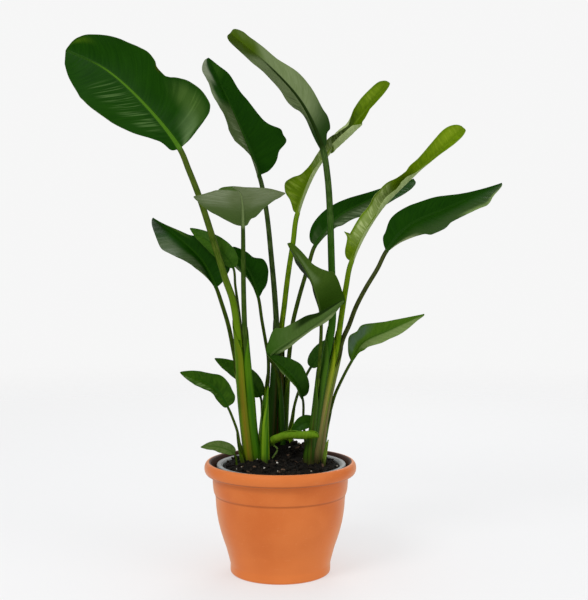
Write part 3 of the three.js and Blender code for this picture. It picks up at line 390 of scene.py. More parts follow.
def leaf_material(leaf):
    """A leaf: deep upper face, duller lower face, rib, fine veins and a stalk."""
    look = leaf["look"]
    g = Graph(leaf["name"] + "_surface")
    row, share, along, upper, rib, side = (g.attribute(key) for key in LEAF_DATA)
    streaks = g.noise(g.vector(g.times(row, .2), g.times(share, 1.3), side), 1)
    veins = g.noise(g.vector(g.times(row, .21), g.times(share, .7), g.math("ADD", side, 20)), 1)
    patches = g.noise(g.place(), 26)
    tone = g.band(g.add(streaks, .6, g.times(patches, .4)), .24, .76)
    faces = [g.mix(tone, *look["under"]), g.mix(tone, *look["upper"])]

    def paint(amount, colour, lower=True):
        """Lays a colour over the upper face, and over the lower one as well."""
        for k in (0, 1) if lower else (1,):
            faces[k] = g.mix(amount, faces[k], colour)

    paint(g.band(rib, 1, 1.7, look["glow"], 0), look["rib"][0], False)
    if "rusty" in look:
        colour, start, end = look["rusty"]
        spot = g.times(g.window(along, start, end, 0, .05), g.band(side, 0, 1),
                       g.band(share, .9, .99, 0, .9))
        paint(spot, colour, False)
    paint(g.band(share, .965, .998, 0, .5), look["margin"])
    if "tip" in look:
        colour, start, end = look["tip"]
        paint(g.times(g.band(along, start, end), g.band(patches, .3, .6, .75, 1)), colour)
    if "foot" in look:
        colour, start, end = look["foot"]
        paint(g.band(along, end, start), colour)
    if "right_half" in look:
        colour, strength = look["right_half"]
        across = g.band(share, .1, .8, .1, 1)
        paint(g.times(g.band(side, 0, 1, 0, strength), across), colour, False)
    # Painted highlights, sheen and shade, laid along the side veins; in places the other face's
    # own colour where the blade rolls
    for colour, which, start, end, inner, outer, strength, contrast in look.get("gleams", ()):
        painted_light = g.times(g.window(along, start, end, .08, .06),
                        g.window(share, inner, outer, .15, .15),
                        g.band(side, 0, which, 0, strength),
                        g.band(veins, .48, .62, 1 - contrast, 1))
        paint(painted_light, colour)
    on_rib = g.times(g.band(rib, .8, 1.08, 1, 0), g.band(along, *RIB_SEEN))
    blade = g.mix(on_rib, g.mix(upper, *faces), g.mix(upper, *look["rib"][::-1]))
    round_streaks = g.noise(g.vector(g.times(row, .012), rib, side), 5, 3)
    stalk = g.mix(g.band(round_streaks, .35, .65), *look["stalk"])
    if "low_stalk" in look:
        colour, start, end = look["low_stalk"]
        stalk = g.mix(g.band(row, start, end, 0, .85), stalk, colour)
    stalk = g.mix(g.band(g.facing(), .3, .95, 0, .65), stalk, STALK_SHADE)
    on_stalk = g.band(row, 4, -9)
    fine = g.math("SINE", g.times(row, FULL_TURN / FINE_VEIN_PITCH))
    height = g.mix(on_stalk, g.add(fine, .2, streaks), round_streaks)
    gloss = g.mix(upper, grey(.62), grey(look["gloss"]))
    roughness = g.add(streaks, .12, g.math("ADD", gloss, -.06))
    return g.finish(g.mix(on_stalk, blade, stalk), roughness, height, .18, .35, .05)


def sheath_material(name, edge, middle, stripe, centre, half, full=200, ends=400, dry=208,
                    fresh=226):
    """A clasping stalk base: lengthwise streaks, a coloured stripe and a dry foot."""
    g = Graph(name)
    height, around = g.attribute("row"), g.attribute("share")
    fibres = g.noise(g.vector(g.times(height, .006), g.times(around, 38)), 1, 3)
    broad = g.noise(g.vector(g.times(height, .008), g.times(around, 7), 5), 1, 1)
    colour = g.mix(g.band(broad, .35, .65), edge, middle)
    for amount, over in (
            (g.times(g.band(g.away(around, centre), half * 1.2, 0), g.band(height, ends, full),
                     g.band(fibres, .3, .6, .5, 1)), stripe),
            (g.band(g.away(around, .5), .46, .5, 0, .5), edge),
            (g.times(g.band(height, fresh, dry), g.band(fibres, .3, .62, .25, 1)), DRY),
            (g.band(g.facing(), .45, 1, 0, .4), SHEATH_SHADE),
            # Darker towards the bottom of the sheath
            (g.times(g.band(height, *SHEATH_DARKENING_HEIGHTS), g.band(fibres, .25, .6, .4, 1)),
             SHEATH_LOW_TONE)):
        colour = g.mix(amount, colour, over)
    return g.finish(colour, g.band(fibres, .2, .8, .4, .6), fibres, .5, .6, .1)


def make_piece(name, points, faces, data, materials, node, face_materials=None):
    """A piece from points in millimetres, with number attributes on its points."""
    mesh = bpy.data.meshes.new(name)
    kept = np.clip(points * MM, *map(np.array, cad_box))
    mesh.from_pydata(kept.tolist(), [], faces)
    mesh.polygons.foreach_set("use_smooth", [True] * len(faces))
    for key, values in data.items():
        layer = mesh.attributes.new(key, "FLOAT", "POINT")
        layer.data.foreach_set("value", np.asarray(values, np.float32).ravel())
    for material in materials:
        mesh.materials.append(material)
    mesh.polygons.foreach_set("material_index", face_materials or [0] * len(faces))
    mesh.update()
    piece = placed(name, mesh)
    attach(piece, "root")
    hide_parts(node)


def lattice_faces(index):
    """Faces between the rows of a closed lattice of point numbers, leaving out empty ones."""
    here, ahead = index[:-1], index[1:]
    corners = np.stack([here, np.roll(here, -1, 1), np.roll(ahead, -1, 1), ahead], -1)
    rings = ([corner for k, corner in enumerate(quad) if corner != quad[k - 1]]
             for quad in corners.reshape(-1, 4).tolist())
    return [ring for ring in rings if len(ring) > 2]


# Leaves

SHARES = np.array([.035, .1, .18, .28, .39, .5, .61, .71, .8, .88, .94, .985, 1])
RIB_POINTS = 9
HALF = 2 * len(SHARES) + RIB_POINTS
COLUMN_SHARES = np.concatenate([SHARES[::-1], np.zeros(RIB_POINTS), SHARES] * 2)
COLUMN_SIDES = np.repeat([-3, 0, 3, 3, 0, -3], [len(SHARES), RIB_POINTS, len(SHARES)] * 2)
BLADE_AT_RIB = .9
BLADE_AT_MARGIN = .5
RIB_TIP_RADIUS = .9
VEIN_PITCH = 4.5
FINE_VEIN_PITCH = 2.1
PLEAT = .38
ROW_STEP = 1.7
ROW_COUNTS = 50, 215
SEAT_BELOW_THROAT = 30
STALK_END_BELOW_SEAT = 12
GROOVE_RUN = 160
RIB_BLEND = 14


def unit(vectors):
    return vectors / np.linalg.norm(vectors, axis=-1, keepdims=True)


def smooth(share):
    return share * share * (3 - 2 * share)


def spline(points, at):
    """Places and directions on a centripetal curve through points, at values from 0 to 1."""
    given = np.asarray(points, float)
    ends = np.vstack([2 * given[0] - given[1], given, 2 * given[-1] - given[-2]])
    at = np.clip(np.asarray(at, float), 0, 1) * (len(given) - 1)
    first = np.minimum(at.astype(int), len(given) - 2)
    share = (at - first)[..., None]
    x0, x1, x2, x3 = (ends[first + k] for k in range(4))
    d0, d1, d2 = (np.linalg.norm(b - a, axis=-1, keepdims=True) ** .5
                  for a, b in ((x0, x1), (x1, x2), (x2, x3)))
    t1 = ((x1 - x0) / d0 - (x2 - x0) / (d0 + d1) + (x2 - x1) / d1) * d1
    t2 = ((x2 - x1) / d1 - (x3 - x1) / (d1 + d2) + (x3 - x2) / d2) * d1
    c2 = -3 * x1 + 3 * x2 - 2 * t1 - t2
    c3 = 2 * x1 - 2 * x2 + t1 + t2
    place = x1 + t1 * share + c2 * share**2 + c3 * share**3
    return place, unit(t1 + 2 * c2 * share + 3 * c3 * share**2)


def line_value(leaf, t):
    """Value on a leaf's line of a place on its blade: 0 is the blade's foot and 1 its tip."""
    foot, last = leaf["foot"], len(leaf["line"]) - 1
    return (foot + (last - foot) * t) / last


def value_at_height(leaf, height):
    """Value on a leaf's line where the climbing stalk reaches a height."""
    values = np.linspace(0, line_value(leaf, 0), 400)
    return float(np.interp(height, spline(leaf["line"], values)[0][:, 2], values))


def frame_at(leaf, value, t):
    """Place, upper-face normal, rightward direction and direction on a leaf's line."""
    place, way = spline(leaf["line"], value)
    face = np.stack([np.interp(t, [0, 1], axis)
                     for axis in np.broadcast_to(leaf["face"], (2, 3)).T], -1)
    normal = unit(face - way * (face * way).sum(-1, keepdims=True))
    return place, normal, np.cross(way, normal), way


def through(pairs, t):
    """Smooth value at t through pairs of a place and a value."""
    flat = np.pad(np.reshape(pairs, (-1, 2)), [(0, 0), (0, 1)])
    curve = spline(flat, np.linspace(0, 1, 160))[0]
    return np.interp(t, curve[:, 0], curve[:, 1])


def angle_at(values, side, t):
    """A fold or curl of the table at t."""
    if isinstance(values, tuple):
        places, *halves = np.reshape(values, (-1, 3)).T
    else:
        places, halves = [0, 1], np.resize(values, (2, 2)).T
    return np.radians(np.interp(t, places, halves[side]))


def rib_radius(leaf, t, taper=.42):
    return leaf["stem"][1] + (RIB_TIP_RADIUS - leaf["stem"][1]) * t**taper


def half_width(leaf, side, t):
    """Half width of a blade: measured places, or a plain form with a measured edge."""
    side = SIDES[side]
    if side + "_width" in leaf:
        ends = np.clip(1 - (1 - 2 * np.clip(t, 0, 1)) ** 40, 0, 1) ** .5
        return np.maximum(through(leaf[side + "_width"], t), 0) * ends
    widest_half, widest, foot, tip = leaf[side]
    away = np.where(t < widest, (widest - t) / widest, (t - widest) / (1 - widest))
    width = widest_half * np.maximum(0, 1 - away**2) ** np.where(t < widest, foot, tip)
    if side + "_swell" in leaf:
        place, gain, spread = leaf[side + "_swell"]
        width = width * (1 + gain * np.exp(-(((t - place) / spread) ** 2)))
    if side + "_edge" in leaf:
        width = width * through(leaf[side + "_edge"], t)
    return width


def wander(values, seed):
    """A smooth random wave between -1 and 1 along values."""
    knots = np.random.default_rng(seed).uniform(-1, 1, 512)
    first = np.floor(values).astype(int)
    share = smooth(values - first)
    return knots[first % 512] * (1 - share) + knots[(first + 1) % 512] * share


def blade_points(leaf, side, rows, lengths, seed, lower):
    """Points of one half of one face, each with its reach from the rib. Rows follow the side
    veins, which lean to the tip."""
    share = SHARES[None, :]
    t = rows[:, None] + leaf["slant"] * np.sin(np.pi * rows[:, None]) * share**1.3
    out = -1 if side == LEFT else 1
    place, normal, right, _ = frame_at(leaf, line_value(leaf, t), t)
    bend = angle_at(leaf["curl"], side, t) * share + 1e-6
    angle = angle_at(leaf["fold"], side, t) + bend / 2
    width = half_width(leaf, side, t)
    # The built solids' ribs are stouter than these, and their blades start outside them
    width = width + (rib_radius(leaf, t, .7) - rib_radius(leaf, t)) * np.clip(width / 8, 0, 1)
    width = width * (1 + .012 * wander(t * 7, seed + 1) * share + .008 * wander(t * 19, seed + 2))
    reach = width * share * np.sin(bend / 2) / (bend / 2)
    size, count, phase = leaf["wave"]
    ripple = size * share**2 * np.sin(np.pi * t) * np.sin(
        FULL_TURN * (count * t + phase + side * .37))
    middle = np.sqrt(np.clip(4 * share * (1.02 - share), 0, 1)) * np.clip(width / 25, 0, 1)
    pleats = PLEAT * middle * wander(lengths[:, None] / VEIN_PITCH + 0 * t, seed + 3)
    frill = leaf["frill"] * share**5 * wander(t * 11, seed + 4) * np.clip(width / 30, 0, 1)
    thick = BLADE_AT_RIB + (BLADE_AT_MARGIN - BLADE_AT_RIB) * share
    lift = ripple + pleats + frill - thick * lower
    tilt = angle + bend / 2
    across = out * (rib_radius(leaf, rows[:, None]) + reach * np.cos(angle) - lift * np.sin(tilt))
    up = reach * np.sin(angle) + lift * np.cos(tilt)
    points = place + right * across[..., None] + normal * up[..., None]
    return np.dstack([points, 1 + width * share / 4])


def stalk_section(radius, groove, ribbed):
    """Upper and lower points across a stalk (ribbed 0) or a blade's rib (ribbed 1)."""
    turn = np.linspace(np.pi, 0, RIB_POINTS)
    high = np.sin(turn)
    dip = 1 - groove * np.exp(-(((turn - np.pi / 2) / .55) ** 2))
    up = radius * high * dip * (1 - ribbed) + ribbed * radius * (
        .16 * np.sin(2 * turn) ** 2 - .3 * high**4)
    low = -BLADE_AT_RIB - ((radius - BLADE_AT_RIB) * (1 - ribbed) + ribbed * 1.3 * radius) * high
    return radius * np.cos(turn), up, low


def leaf_mesh(leaf, seed):
    """Points, faces and attributes of a leaf, from inside its sheath to its tip."""
    fine = np.linspace(0, 1, 200)
    along_blade = spline(leaf["line"], line_value(leaf, fine))[0]
    run = np.append(0, np.cumsum(np.linalg.norm(np.diff(along_blade, axis=0), axis=1)))
    count = int(np.clip(run[-1] / ROW_STEP, *ROW_COUNTS))
    even = np.linspace(0, 1, count)
    rows = .7 * even + .3 * (.5 - .5 * np.cos(np.pi * even))
    lengths = np.interp(rows, fine, run)
    foot = line_value(leaf, 0)
    start = seat = 0
    if leaf["sheath"]:
        seat_height = leaf["sheath"][1] - SEAT_BELOW_THROAT
        seat = value_at_height(leaf, seat_height)
        start = value_at_height(leaf, seat_height - STALK_END_BELOW_SEAT)
    steps = max(8, int((foot - start) * (len(leaf["line"]) - 1) * 9))
    stalk_values = np.linspace(start, foot, steps, endpoint=False)
    stalk_places = spline(leaf["line"], np.append(stalk_values, foot))[0]
    gaps = np.linalg.norm(np.diff(stalk_places, axis=0), axis=1)

    # Every row of the stalk, then of the blade, with its distance from the blade's foot
    t = np.append(np.zeros(steps), rows)[:, None]
    length = np.append(-np.cumsum(gaps[::-1])[::-1], lengths)[:, None]
    value = np.append(stalk_values, line_value(leaf, rows))[:, None]
    climbed = np.clip((value - seat) / (foot - seat), 0, 1)
    radius = leaf["stem"][0] + (leaf["stem"][1] - leaf["stem"][0]) * climbed
    radius = np.where(value < foot, radius, rib_radius(leaf, t))
    place, normal, right, _ = frame_at(leaf, value, t)
    x, up, low = stalk_section(radius, .1 + .35 * np.clip(1 + length / GROOVE_RUN, 0, 1),
                               smooth(np.clip((length + RIB_BLEND) / (2 * RIB_BLEND), 0, 1)))
    rib_share = np.abs(np.cos(np.linspace(np.pi, 0, RIB_POINTS))) + 0 * x
    spare = np.zeros((steps, len(SHARES), 4))
    halves = []
    for lower, height in enumerate((up, low)):
        left, on_right = (
            np.vstack([spare, blade_points(leaf, side, rows, lengths, seed, lower)])
            for side in (LEFT, RIGHT))
        middle = place + right * x[..., None] + normal * height[..., None]
        half = np.hstack([left[:, ::-1], np.dstack([middle, rib_share]), on_right])
        halves.append(half[:, ::-1 if lower else 1])
    points = np.hstack(halves)
    shape = points.shape[:2]
    data = {"row": length, "share": COLUMN_SHARES, "along": np.where(value < foot, -.01, t),
            "upper": np.repeat([1, 0], HALF), "rib": points[..., 3], "side": COLUMN_SIDES}

    # On the stalk and at the blade's ends the halves shrink to the rib's own sides
    index = np.arange(shape[0] * shape[1]).reshape(shape)
    bare = np.ones(shape[0], bool)
    bare[steps + 1:-1] = False
    column = np.clip(np.arange(HALF), len(SHARES), len(SHARES) + RIB_POINTS - 1)
    index[bare] = index[bare][:, np.append(column, column + HALF)]
    used, index = np.unique(index, return_inverse=True)
    index = index.reshape(shape)
    faces = lattice_faces(index)
    for row, turn in ((index[0], 1), (index[-1], -1)):
        faces.append(list(dict.fromkeys(row.tolist()))[::turn])
    data = {key: np.broadcast_to(value, shape).ravel()[used] for key, value in data.items()}
    return points[..., :3].reshape(-1, 3)[used], faces, data


# Sheaths

SHEATH_WALL = 1.7
SHEATH_THICK = 1.5
SHEATH_LAP = .55
THROAT_LIP = 14
V_BELOW_THROAT, V_LENGTH, V_OPEN = 62, 76, 2.6
SHEATH_COLUMNS = 30
SHEATH_ROWS = 34
SHEATH_LOW = 190
CORE_POINTS = 16
CORE_ROWS = 12
FAN_X = {"left": -52, "middle": -6, "right": 66}


def round_line(place, way, facing, radius, turn):
    """Rows of points round places on a line, turned from the side that faces one way."""
    front = unit(facing - way * (way @ facing)[:, None])
    x, y = radius * np.cos(turn), radius * np.sin(turn)
    return (place[:, None] + front[:, None] * x[..., None]
            + np.cross(way, front)[:, None] * y[..., None])


def sheath_mesh(leaf):
    """One stalk's clasping base: a rolled wall that opens in a V at its throat, and the stalk
    that goes on down inside it."""
    root_radius, throat = leaf["sheath"]
    narrowing = leaf["stem"][0] + SHEATH_WALL - root_radius
    end = value_at_height(leaf, throat)
    low = value_at_height(leaf, SHEATH_LOW)
    top = value_at_height(leaf, throat + THROAT_LIP)
    values = np.linspace(low, top, SHEATH_ROWS)
    place, _, _, way = frame_at(leaf, values, 0 * values)
    above = np.clip((values - end) / (top - end), 0, 1)
    radius = root_radius + narrowing * np.minimum(values / end, 1) - above * (SHEATH_WALL - .5)
    inward = np.sign(FAN_X[leaf["fan"]] - leaf["line"][0][0] + 1e-6)
    facing = np.array([inward * .75, -.65, 0])
    climbed = (place[:, 2:] - (throat - V_BELOW_THROAT)) / V_LENGTH
    opening = np.clip(climbed, 0, 1) ** 1.4 * V_OPEN + .02
    v = np.linspace(0, 1, SHEATH_COLUMNS)[None, :]
    turn = opening + v * (FULL_TURN - 2 * opening)
    lap = SHEATH_LAP * (v - .5) * np.clip(1 - opening, 0, 1)
    thin = SHEATH_THICK * np.clip(np.minimum(v, 1 - v) * 5, .12, 1)
    fade = np.clip(1.3 - above, .3, 1)[:, None]
    outer, inner = (round_line(place, way, facing, radius[:, None] + lap - depth, turn)
                    for depth in (0, thin * fade))
    points = np.hstack([outer, inner[:, ::-1]]).reshape(-1, 3)
    index = np.arange(len(points)).reshape(SHEATH_ROWS, -1)
    faces = lattice_faces(index)
    for row, turned in ((index[0], 1), (index[-1], -1)):
        row = row.tolist()
        for a in range(SHEATH_COLUMNS - 1):
            faces.append([row[a], row[a + 1], row[-2 - a], row[-1 - a]][::turned])

    values = np.linspace(low, value_at_height(leaf, throat - SEAT_BELOW_THROAT + 4), CORE_ROWS)
    core_place, _, _, core_way = frame_at(leaf, values, 0 * values)
    radius = np.minimum(leaf["stem"][0] - .2, root_radius + narrowing * values / end - 2)
    circle = np.linspace(0, FULL_TURN, CORE_POINTS, endpoint=False)
    core = round_line(core_place, core_way, facing, radius[:, None], circle).reshape(-1, 3)
    index = len(points) + np.arange(len(core)).reshape(CORE_ROWS, -1)
    faces += [*lattice_faces(index), index[0].tolist(), index[-1][::-1].tolist()]
    data = {"share": np.append(np.tile(np.append(v, v[:, ::-1]), SHEATH_ROWS),
                               np.full(len(core), .3)),
            "row": np.append(np.repeat(place[:, 2], 2 * SHEATH_COLUMNS),
                             np.repeat(core_place[:, 2], CORE_POINTS))}
    return np.vstack([points, core]), faces, data


# Pots and soil

RIM_ARC_STEPS = 14
POT_SIDE = [[99, 6], [99, 18], [102, 30], [108, 52], [113.6, 68], [118.5, 84], [122.6, 101],
            [125.5, 118], [126.9, 130], [127.5, 140], [128.5, 152]]
# Heights of the pot's groove and of its rim's underside, and the strength of the painted shade
# there
POT_PAINTED_SHADE_BANDS = (.1535, .1572, .45), (.1925, .1975, .6)
POT_SEGMENTS, NURSERY_SEGMENTS = 160, 128
NURSERY_X = 2
NURSERY_FOOT, NURSERY_TOP, NURSERY_WALL = (88, 5.3), (118.5, 214), 2
SOIL_LEVEL = 208
SOIL_RINGS, SOIL_SEGMENTS = 74, 200
SCATTER_REACH = 112
CRUMBS, PERLITE, BARK = 340, 26, 24
GRAIN_SEEDS = 100, 500, 900


def circles(radii, heights, segments, shift=0):
    """Rows of points on level circles."""
    turn = np.linspace(0, FULL_TURN, segments, endpoint=False)
    radii, heights = np.asarray(radii)[:, None], np.asarray(heights)[:, None]
    x, y = radii * np.cos(turn) + shift, radii * np.sin(turn)
    return np.stack([x, y, heights + 0 * x], -1)


def spread(tip, ring):
    """Triangles between a point and a ring of points."""
    return [[tip, a, b] for a, b in zip(ring.tolist(), np.roll(ring, -1).tolist())]


def lathe_piece(name, profile, segments, material, node, shift=0):
    """A closed turned form. The profile goes from the axis round and back to the axis."""
    profile = np.array(profile, float)
    points = circles(*profile[1:-1].T, segments, shift).reshape(-1, 3)
    index = np.arange(len(points)).reshape(-1, segments)
    faces = (lattice_faces(index) + spread(len(points), index[0][::-1])
             + spread(len(points) + 1, index[-1]))
    points = np.vstack([points, [[shift, 0, profile[k, 1]] for k in (0, -1)]])
    make_piece(name, points, faces, {}, [material], node)


def rounded(corners, radius, steps=2):
    """A profile with its inner corners rounded by arcs of about the given radius."""
    corners = [np.array(c, float) for c in corners]
    made = [corners[0]]
    for before, here, after in zip(corners, corners[1:], corners[2:]):
        size = min(radius, *(np.linalg.norm(here - other) * .45 for other in (before, after)))
        a, b = (here + unit(other - here) * size for other in (before, after))
        made += [(1 - s) ** 2 * a + 2 * s * (1 - s) * here + s * s * b
                 for s in np.linspace(0, 1, steps + 1)]
    return [*made, corners[-1]]


def pot_profile():
    """Outside of the outer pot from the axis under its base, round the rim, to its floor."""
    side = [[0, .8], [86, .8], [88, 0], [96.5, 0], [98.6, 1.6], [99, 4.5], *POT_SIDE,
            [129.3, 154.6], [129.1, 155.6], [130.4, 156.6], [131.8, 161], [133, 169],
            [133.8, 180], [134, 192.6]]
    turn = np.radians(np.linspace(-78, 84, RIM_ARC_STEPS))
    rim = [[141 + 9 * math.cos(a) ** .85, 206.5 + 12.4 * math.sin(a)] for a in turn]
    inside = [[139.5, 218.6], [137.2, 216.5], [130, 190], [128.5, 160], [123.5, 140],
              [114.5, 84], [97, 30], [95, 5], [0, 5]]
    return side + rim + inside


def nursery_inside(z):
    """Inner radius of the nursery pot's wall at a height."""
    (foot, low), (top, high) = NURSERY_FOOT, NURSERY_TOP
    return foot + (top - foot) * (z - low) / (high - low) - NURSERY_WALL


def nursery_profile():
    lip = [[125.5 + 2 * math.sin(a), 212 + 2 * math.cos(a)]
           for a in np.radians(np.linspace(90, 10, 5))]
    return [[0, 5.3], [88, 5.3], [117.5, 209], [124.5, 209], [125.5, 198], [127.3, 198],
            *lip, [120.6, 214], [119.2, 213.4], [nursery_inside(210) - .1, 210.5],
            [nursery_inside(7.3), 7.3], [0, 7.3]]


SOIL_EDGE = nursery_inside(SOIL_LEVEL) - .3


def soil_height(x, y):
    """Low mound of soil, higher round the stalks, with crumbs."""
    distance = np.hypot(x - NURSERY_X, y) / SOIL_EDGE
    crumbs = np.sin(x * .21 + 1.3) * np.cos(y * .17) + np.sin((x + y) * .31)
    heap = 36 * np.exp(-((x - 4) ** 2) / (2 * 75**2) - ((y - 62) ** 2) / (2 * 28**2))
    left = 8 * np.exp(-((x + 55) ** 2 + (y + 4) ** 2) / (2 * 28**2))
    return SOIL_LEVEL + 6 * (1 - distance**2) + np.clip(1 - distance**6, 0, 1) * (
        1.2 * crumbs + heap + left)


def soil_piece(material):
    reach = SOIL_EDGE * np.linspace(.012, 1, SOIL_RINGS)
    points = circles(reach, 0 * reach, SOIL_SEGMENTS, NURSERY_X)
    flat = points.reshape(-1, 3).copy()
    points[..., 2] = soil_height(points[..., 0], points[..., 1])
    near_edge = np.clip((1 - reach[:, None] / SOIL_EDGE) * 8, .25, 1)
    for scale, seed, size in ((.11, 3, 2.4), (.33, 9, 1.1)):
        rough = [noise.fractal(Vector(p) * scale + Vector((seed, 0, 0)), .8, 2.1, 4)
                 for p in flat]
        points[..., 2] += np.reshape(rough, points.shape[:2]) * size * near_edge
    skirt = circles([SOIL_EDGE - .2] * 2, [200, 190], SOIL_SEGMENTS, NURSERY_X)
    points = np.vstack([points, skirt]).reshape(-1, 3)
    index = np.arange(len(points)).reshape(-1, SOIL_SEGMENTS)
    faces = [*lattice_faces(index), index[0][::-1].tolist(), index[-1].tolist()]
    make_piece("soil_surface", points, [face[::-1] for face in faces], {}, [material], "soil")


def icosphere(detail):
    ball = bmesh.new()
    bmesh.ops.create_icosphere(ball, subdivisions=detail, radius=1)
    points = np.array([v.co[:] for v in ball.verts])
    faces = [[v.index for v in face.verts] for face in ball.faces]
    ball.free()
    return points, faces


def grains_piece(name, places, sizes, material, detail, tumble=3.1):
    """Many irregular grains that lie on the soil, as one piece."""
    ball, ball_faces = icosphere(detail)
    points, faces, tint = [], [], []
    for k, ((x, y), size) in enumerate(zip(places, sizes)):
        bent, tumbled, spun = (np.random.default_rng(seed + k).uniform for seed in GRAIN_SEEDS)
        body = ball * (1 + bent(-.28, .28, (len(ball), 1))) * size
        a, b, c = tumbled(-1, 1, 3) * tumble
        spin = spun(0, 6.28)
        for one, two, angle in ((0, 1, spin), (1, 2, a), (0, 2, b)):
            p, q = body[:, one].copy(), body[:, two].copy()
            body[:, one] = p * math.cos(angle) - q * math.sin(angle)
            body[:, two] = p * math.sin(angle) + q * math.cos(angle)
        points.append(body + [x, y, soil_height(x, y) + size[2] * .35])
        faces += [[k * len(ball) + v for v in face] for face in ball_faces]
        tint.append(np.full(len(ball), .5 + .5 * c))
    make_piece(name, np.vstack(points), faces, {"tint": tint}, [material], "soil")


def scattered(count):
    """Random places on the soil."""
    distance = SCATTER_REACH * np.sqrt(RNG.uniform(0, 1, count))
    turn = RNG.uniform(0, FULL_TURN, count)
    return np.stack([distance * np.cos(turn) + NURSERY_X, distance * np.sin(turn)], -1)


def pot_material():
    g = Graph("terracotta_plastic")
    place = g.place()
    cloud = g.noise(place, 9, 3)
    speck = g.noise(place, 240)
    x, y, z = g.split(place)
    scuffs = g.noise(g.node("Mapping", {"Vector": place, "Scale": (6, 6, 46)})[0], 6, 4)
    # Painted shadow on the inside of the rim, in the gap round the nursery pot
    inside = g.times(g.band(g.length(g.vector(x, y)), .1422, .1406), g.band(z, .2194, .2186),
                     g.band(z, .194, .196, 0, .94))
    colour = g.mix(g.band(cloud, .35, .65), 0xCF6C2E, 0xD87738)
    for amount, over in ((g.band(speck, .62, .75, 0, .25), 0xE08A4E),
                         (g.band(scuffs, .66, .74, 0, .18), 0xE29C6C),
                         # Painted light from the floor: the pot grows lighter towards its bottom
                         (g.band(z, .09, .01, 0, .5), 0xE48240),
                         # Painted sheen: paler towards the pot's outline as seen
                         (g.band(g.facing(), .45, 1, 0, .55), 0xDEA880),
                         # Painted shadow inside the rim
                         (inside, 0x22140C),
                         # Painted shade in the groove and under the rim
                         *((g.times(g.window(z, low, high, .001, .0008), strength), 0x964A1E)
                           for low, high, strength in POT_PAINTED_SHADE_BANDS)):
        colour = g.mix(amount, colour, over)
    roughness = g.band(cloud, .3, .7, .42, .54)
    return g.finish(colour, roughness, g.add(speck, .6, scuffs), .12, .5, .2)


def nursery_material():
    g = Graph("nursery_plastic")
    dust = g.noise(g.place(), 60, 3)
    colour = g.mix(g.band(dust, .4, .75, 0, .6), 0x808484, 0xACAEAC)
    return g.finish(colour, g.band(dust, .3, .7, .38, .6), dust, .2, .4)


def soil_material(name, dark, light, size):
    g = Graph(name)
    place = g.place()
    grain, clods = g.noise(place, 420, 3, .65), g.noise(place, 90)
    colour = g.mix(g.band(clods, .35, .7), dark, light)
    colour = g.mix(g.band(grain, .58, .72, 0, .5), colour, 0x3E3226)
    return g.finish(colour, .95, g.add(grain, .7, clods), .9, size, .15)


def grain_material(name, one, other, roughness):
    g = Graph(name)
    grain = g.noise(g.place(), 500, 3)
    colour = g.mix(g.band(grain, .45, .7, 0, .35), g.mix(g.attribute("tint"), one, other),
                   0x3C322A)
    return g.finish(colour, roughness, grain, .6, .5, .2)


# The plant

for number, leaf in enumerate(LEAVES):
    if leaf["look"]:
        points, faces, data = leaf_mesh(leaf, 20 * number + 7)
        make_piece(leaf["name"] + "_blade_and_stalk", points, faces, data, [leaf_material(leaf)],
                   leaf["name"])

for fan in FAN_X:
    points, faces, materials, which, data = [], [], [], [], []
    for leaf in LEAVES:
        if leaf["fan"] == fan and leaf["sheath"]:
            own_points, own_faces, own_data = sheath_mesh(leaf)
            first = sum(map(len, points))
            points.append(own_points)
            faces += [[first + v for v in face] for face in own_faces]
            which += [len(materials)] * len(own_faces)
            materials.append(sheath_material(leaf["name"] + "_sheath", *leaf["base"]))
            data.append(own_data)
    data = {key: np.concatenate([own[key] for own in data]) for key in ("share", "row")}
    make_piece("fan_" + fan + "_clasping_bases", np.vstack(points), faces, data, materials,
               "fan_" + fan + "_sheaths", which)

lathe_piece("outer_pot_shell", rounded(pot_profile(), 1.6), POT_SEGMENTS,
            pot_material(), "outer_pot")
lathe_piece("nursery_pot_shell", rounded(nursery_profile(), .8), NURSERY_SEGMENTS,
            nursery_material(), "nursery_pot", NURSERY_X)
soil_piece(soil_material("potting_soil", 0x090806, 0x17140F, 1.2))
crumb_sizes = RNG.uniform(1.2, 3.4, (CRUMBS, 3)) * RNG.uniform(.8, 1.9, (CRUMBS, 1))
grains_piece("soil_crumbs", scattered(CRUMBS), crumb_sizes,
             soil_material("soil_crumb", 0x0C0A08, 0x262019, .8), 1)
perlite = np.vstack([[[16, 60], [38, 59], [4, -62], [18, 40], [-30, -50], [60, -70]],
                     scattered(PERLITE)])
perlite_sizes = RNG.uniform(1.1, 2.3, (len(perlite), 3))
perlite_sizes[:2] *= 1.5
grains_piece("perlite", perlite, perlite_sizes,
             grain_material("perlite_grain", 0x969286, 0xDEDBD0, .8), 2)
bark = np.vstack([[[33, 38], [14, 20], [30, -60]], scattered(BARK)])
bark_sizes = RNG.uniform(.6, 1.2, (len(bark), 3)) * [6, 3.2, 1.4]
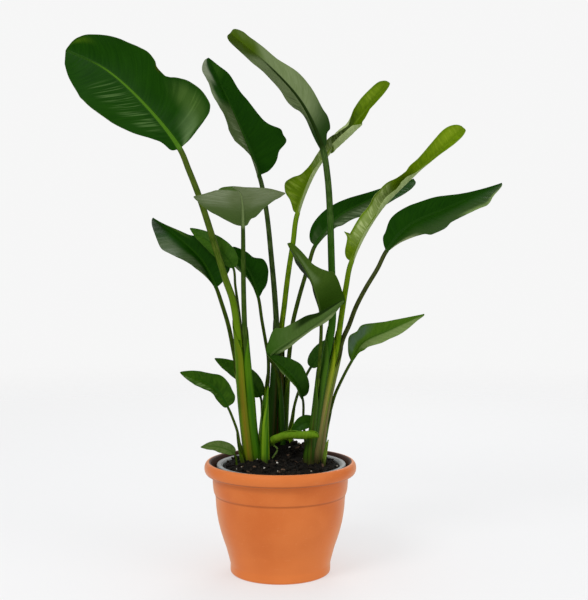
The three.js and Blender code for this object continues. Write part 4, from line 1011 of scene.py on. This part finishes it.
grains_piece("bark_chips", bark, bark_sizes,
             grain_material("bark_chip", 0x32261C, 0x705642, .85), 2, .5)


# Floor and light

FLOOR_RINGS = [.3, 1, 2, 3, 4.5]
FLOOR_SEGMENTS = 96
LIT_PLACE = Vector((0, 0, .5))


def floor_disc():
    points = circles(FLOOR_RINGS, [0] * len(FLOOR_RINGS), FLOOR_SEGMENTS).reshape(-1, 3)
    index = np.arange(len(points)).reshape(-1, FLOOR_SEGMENTS)
    mesh = bpy.data.meshes.new("floor")
    mesh.from_pydata([*points.tolist(), (0, 0, 0)], [],
                     lattice_faces(index) + spread(len(points), index[0]))
    floor = placed("floor", mesh)
    g = Graph("floor")
    matte = g.node("BsdfDiffuse", {"Color": (.44, .445, .45, 1)})
    glow = g.node("Emission", {"Color": (1, .995, 1, 1), "Strength": .44})
    shader = g.node("AddShader", {0: matte[0], 1: glow[0]})
    both = g.node("MixShader", {0: g.band(g.length(g.place()), 1, 4.2), 1: shader[0],
                                2: g.node("BsdfTransparent", {})[0]})
    g.node("OutputMaterial", {"Surface": both[0]})
    mesh.materials.append(g.owner)


def studio_world():
    world = bpy.context.scene.world = bpy.data.worlds.new("studio")
    g = Graph("", world)
    height = g.split(g.node("TexCoord", {})["Generated"])["Z"]
    around = g.mix(g.band(height, -.1, .9), grey(.4), grey(.85))
    seen = g.node("LightPath", {})["Is Camera Ray"]
    background = g.node("Background", {"Color": g.mix(seen, around, grey(.925)), "Strength": 1})
    g.node("OutputWorld", {"Surface": background[0]})


def area_light(name, place, size, power):
    light = bpy.data.lights.new(name, "AREA")
    light.shape = "DISK"
    light.size = size
    light.energy = power
    aim = (LIT_PLACE - Vector(place)).to_track_quat("-Z", "Y")
    placed(name, light, place).rotation_euler = aim.to_euler()


floor_disc()
studio_world()
area_light("key", (-1.6, -2.2, 2.6), 1.4, 40)
area_light("fill", (2.4, -1.6, 1.4), 1.8, 15)
area_light("back", (.5, 2.4, 2.4), 1.6, 20)

bpy.context.view_layer.update()
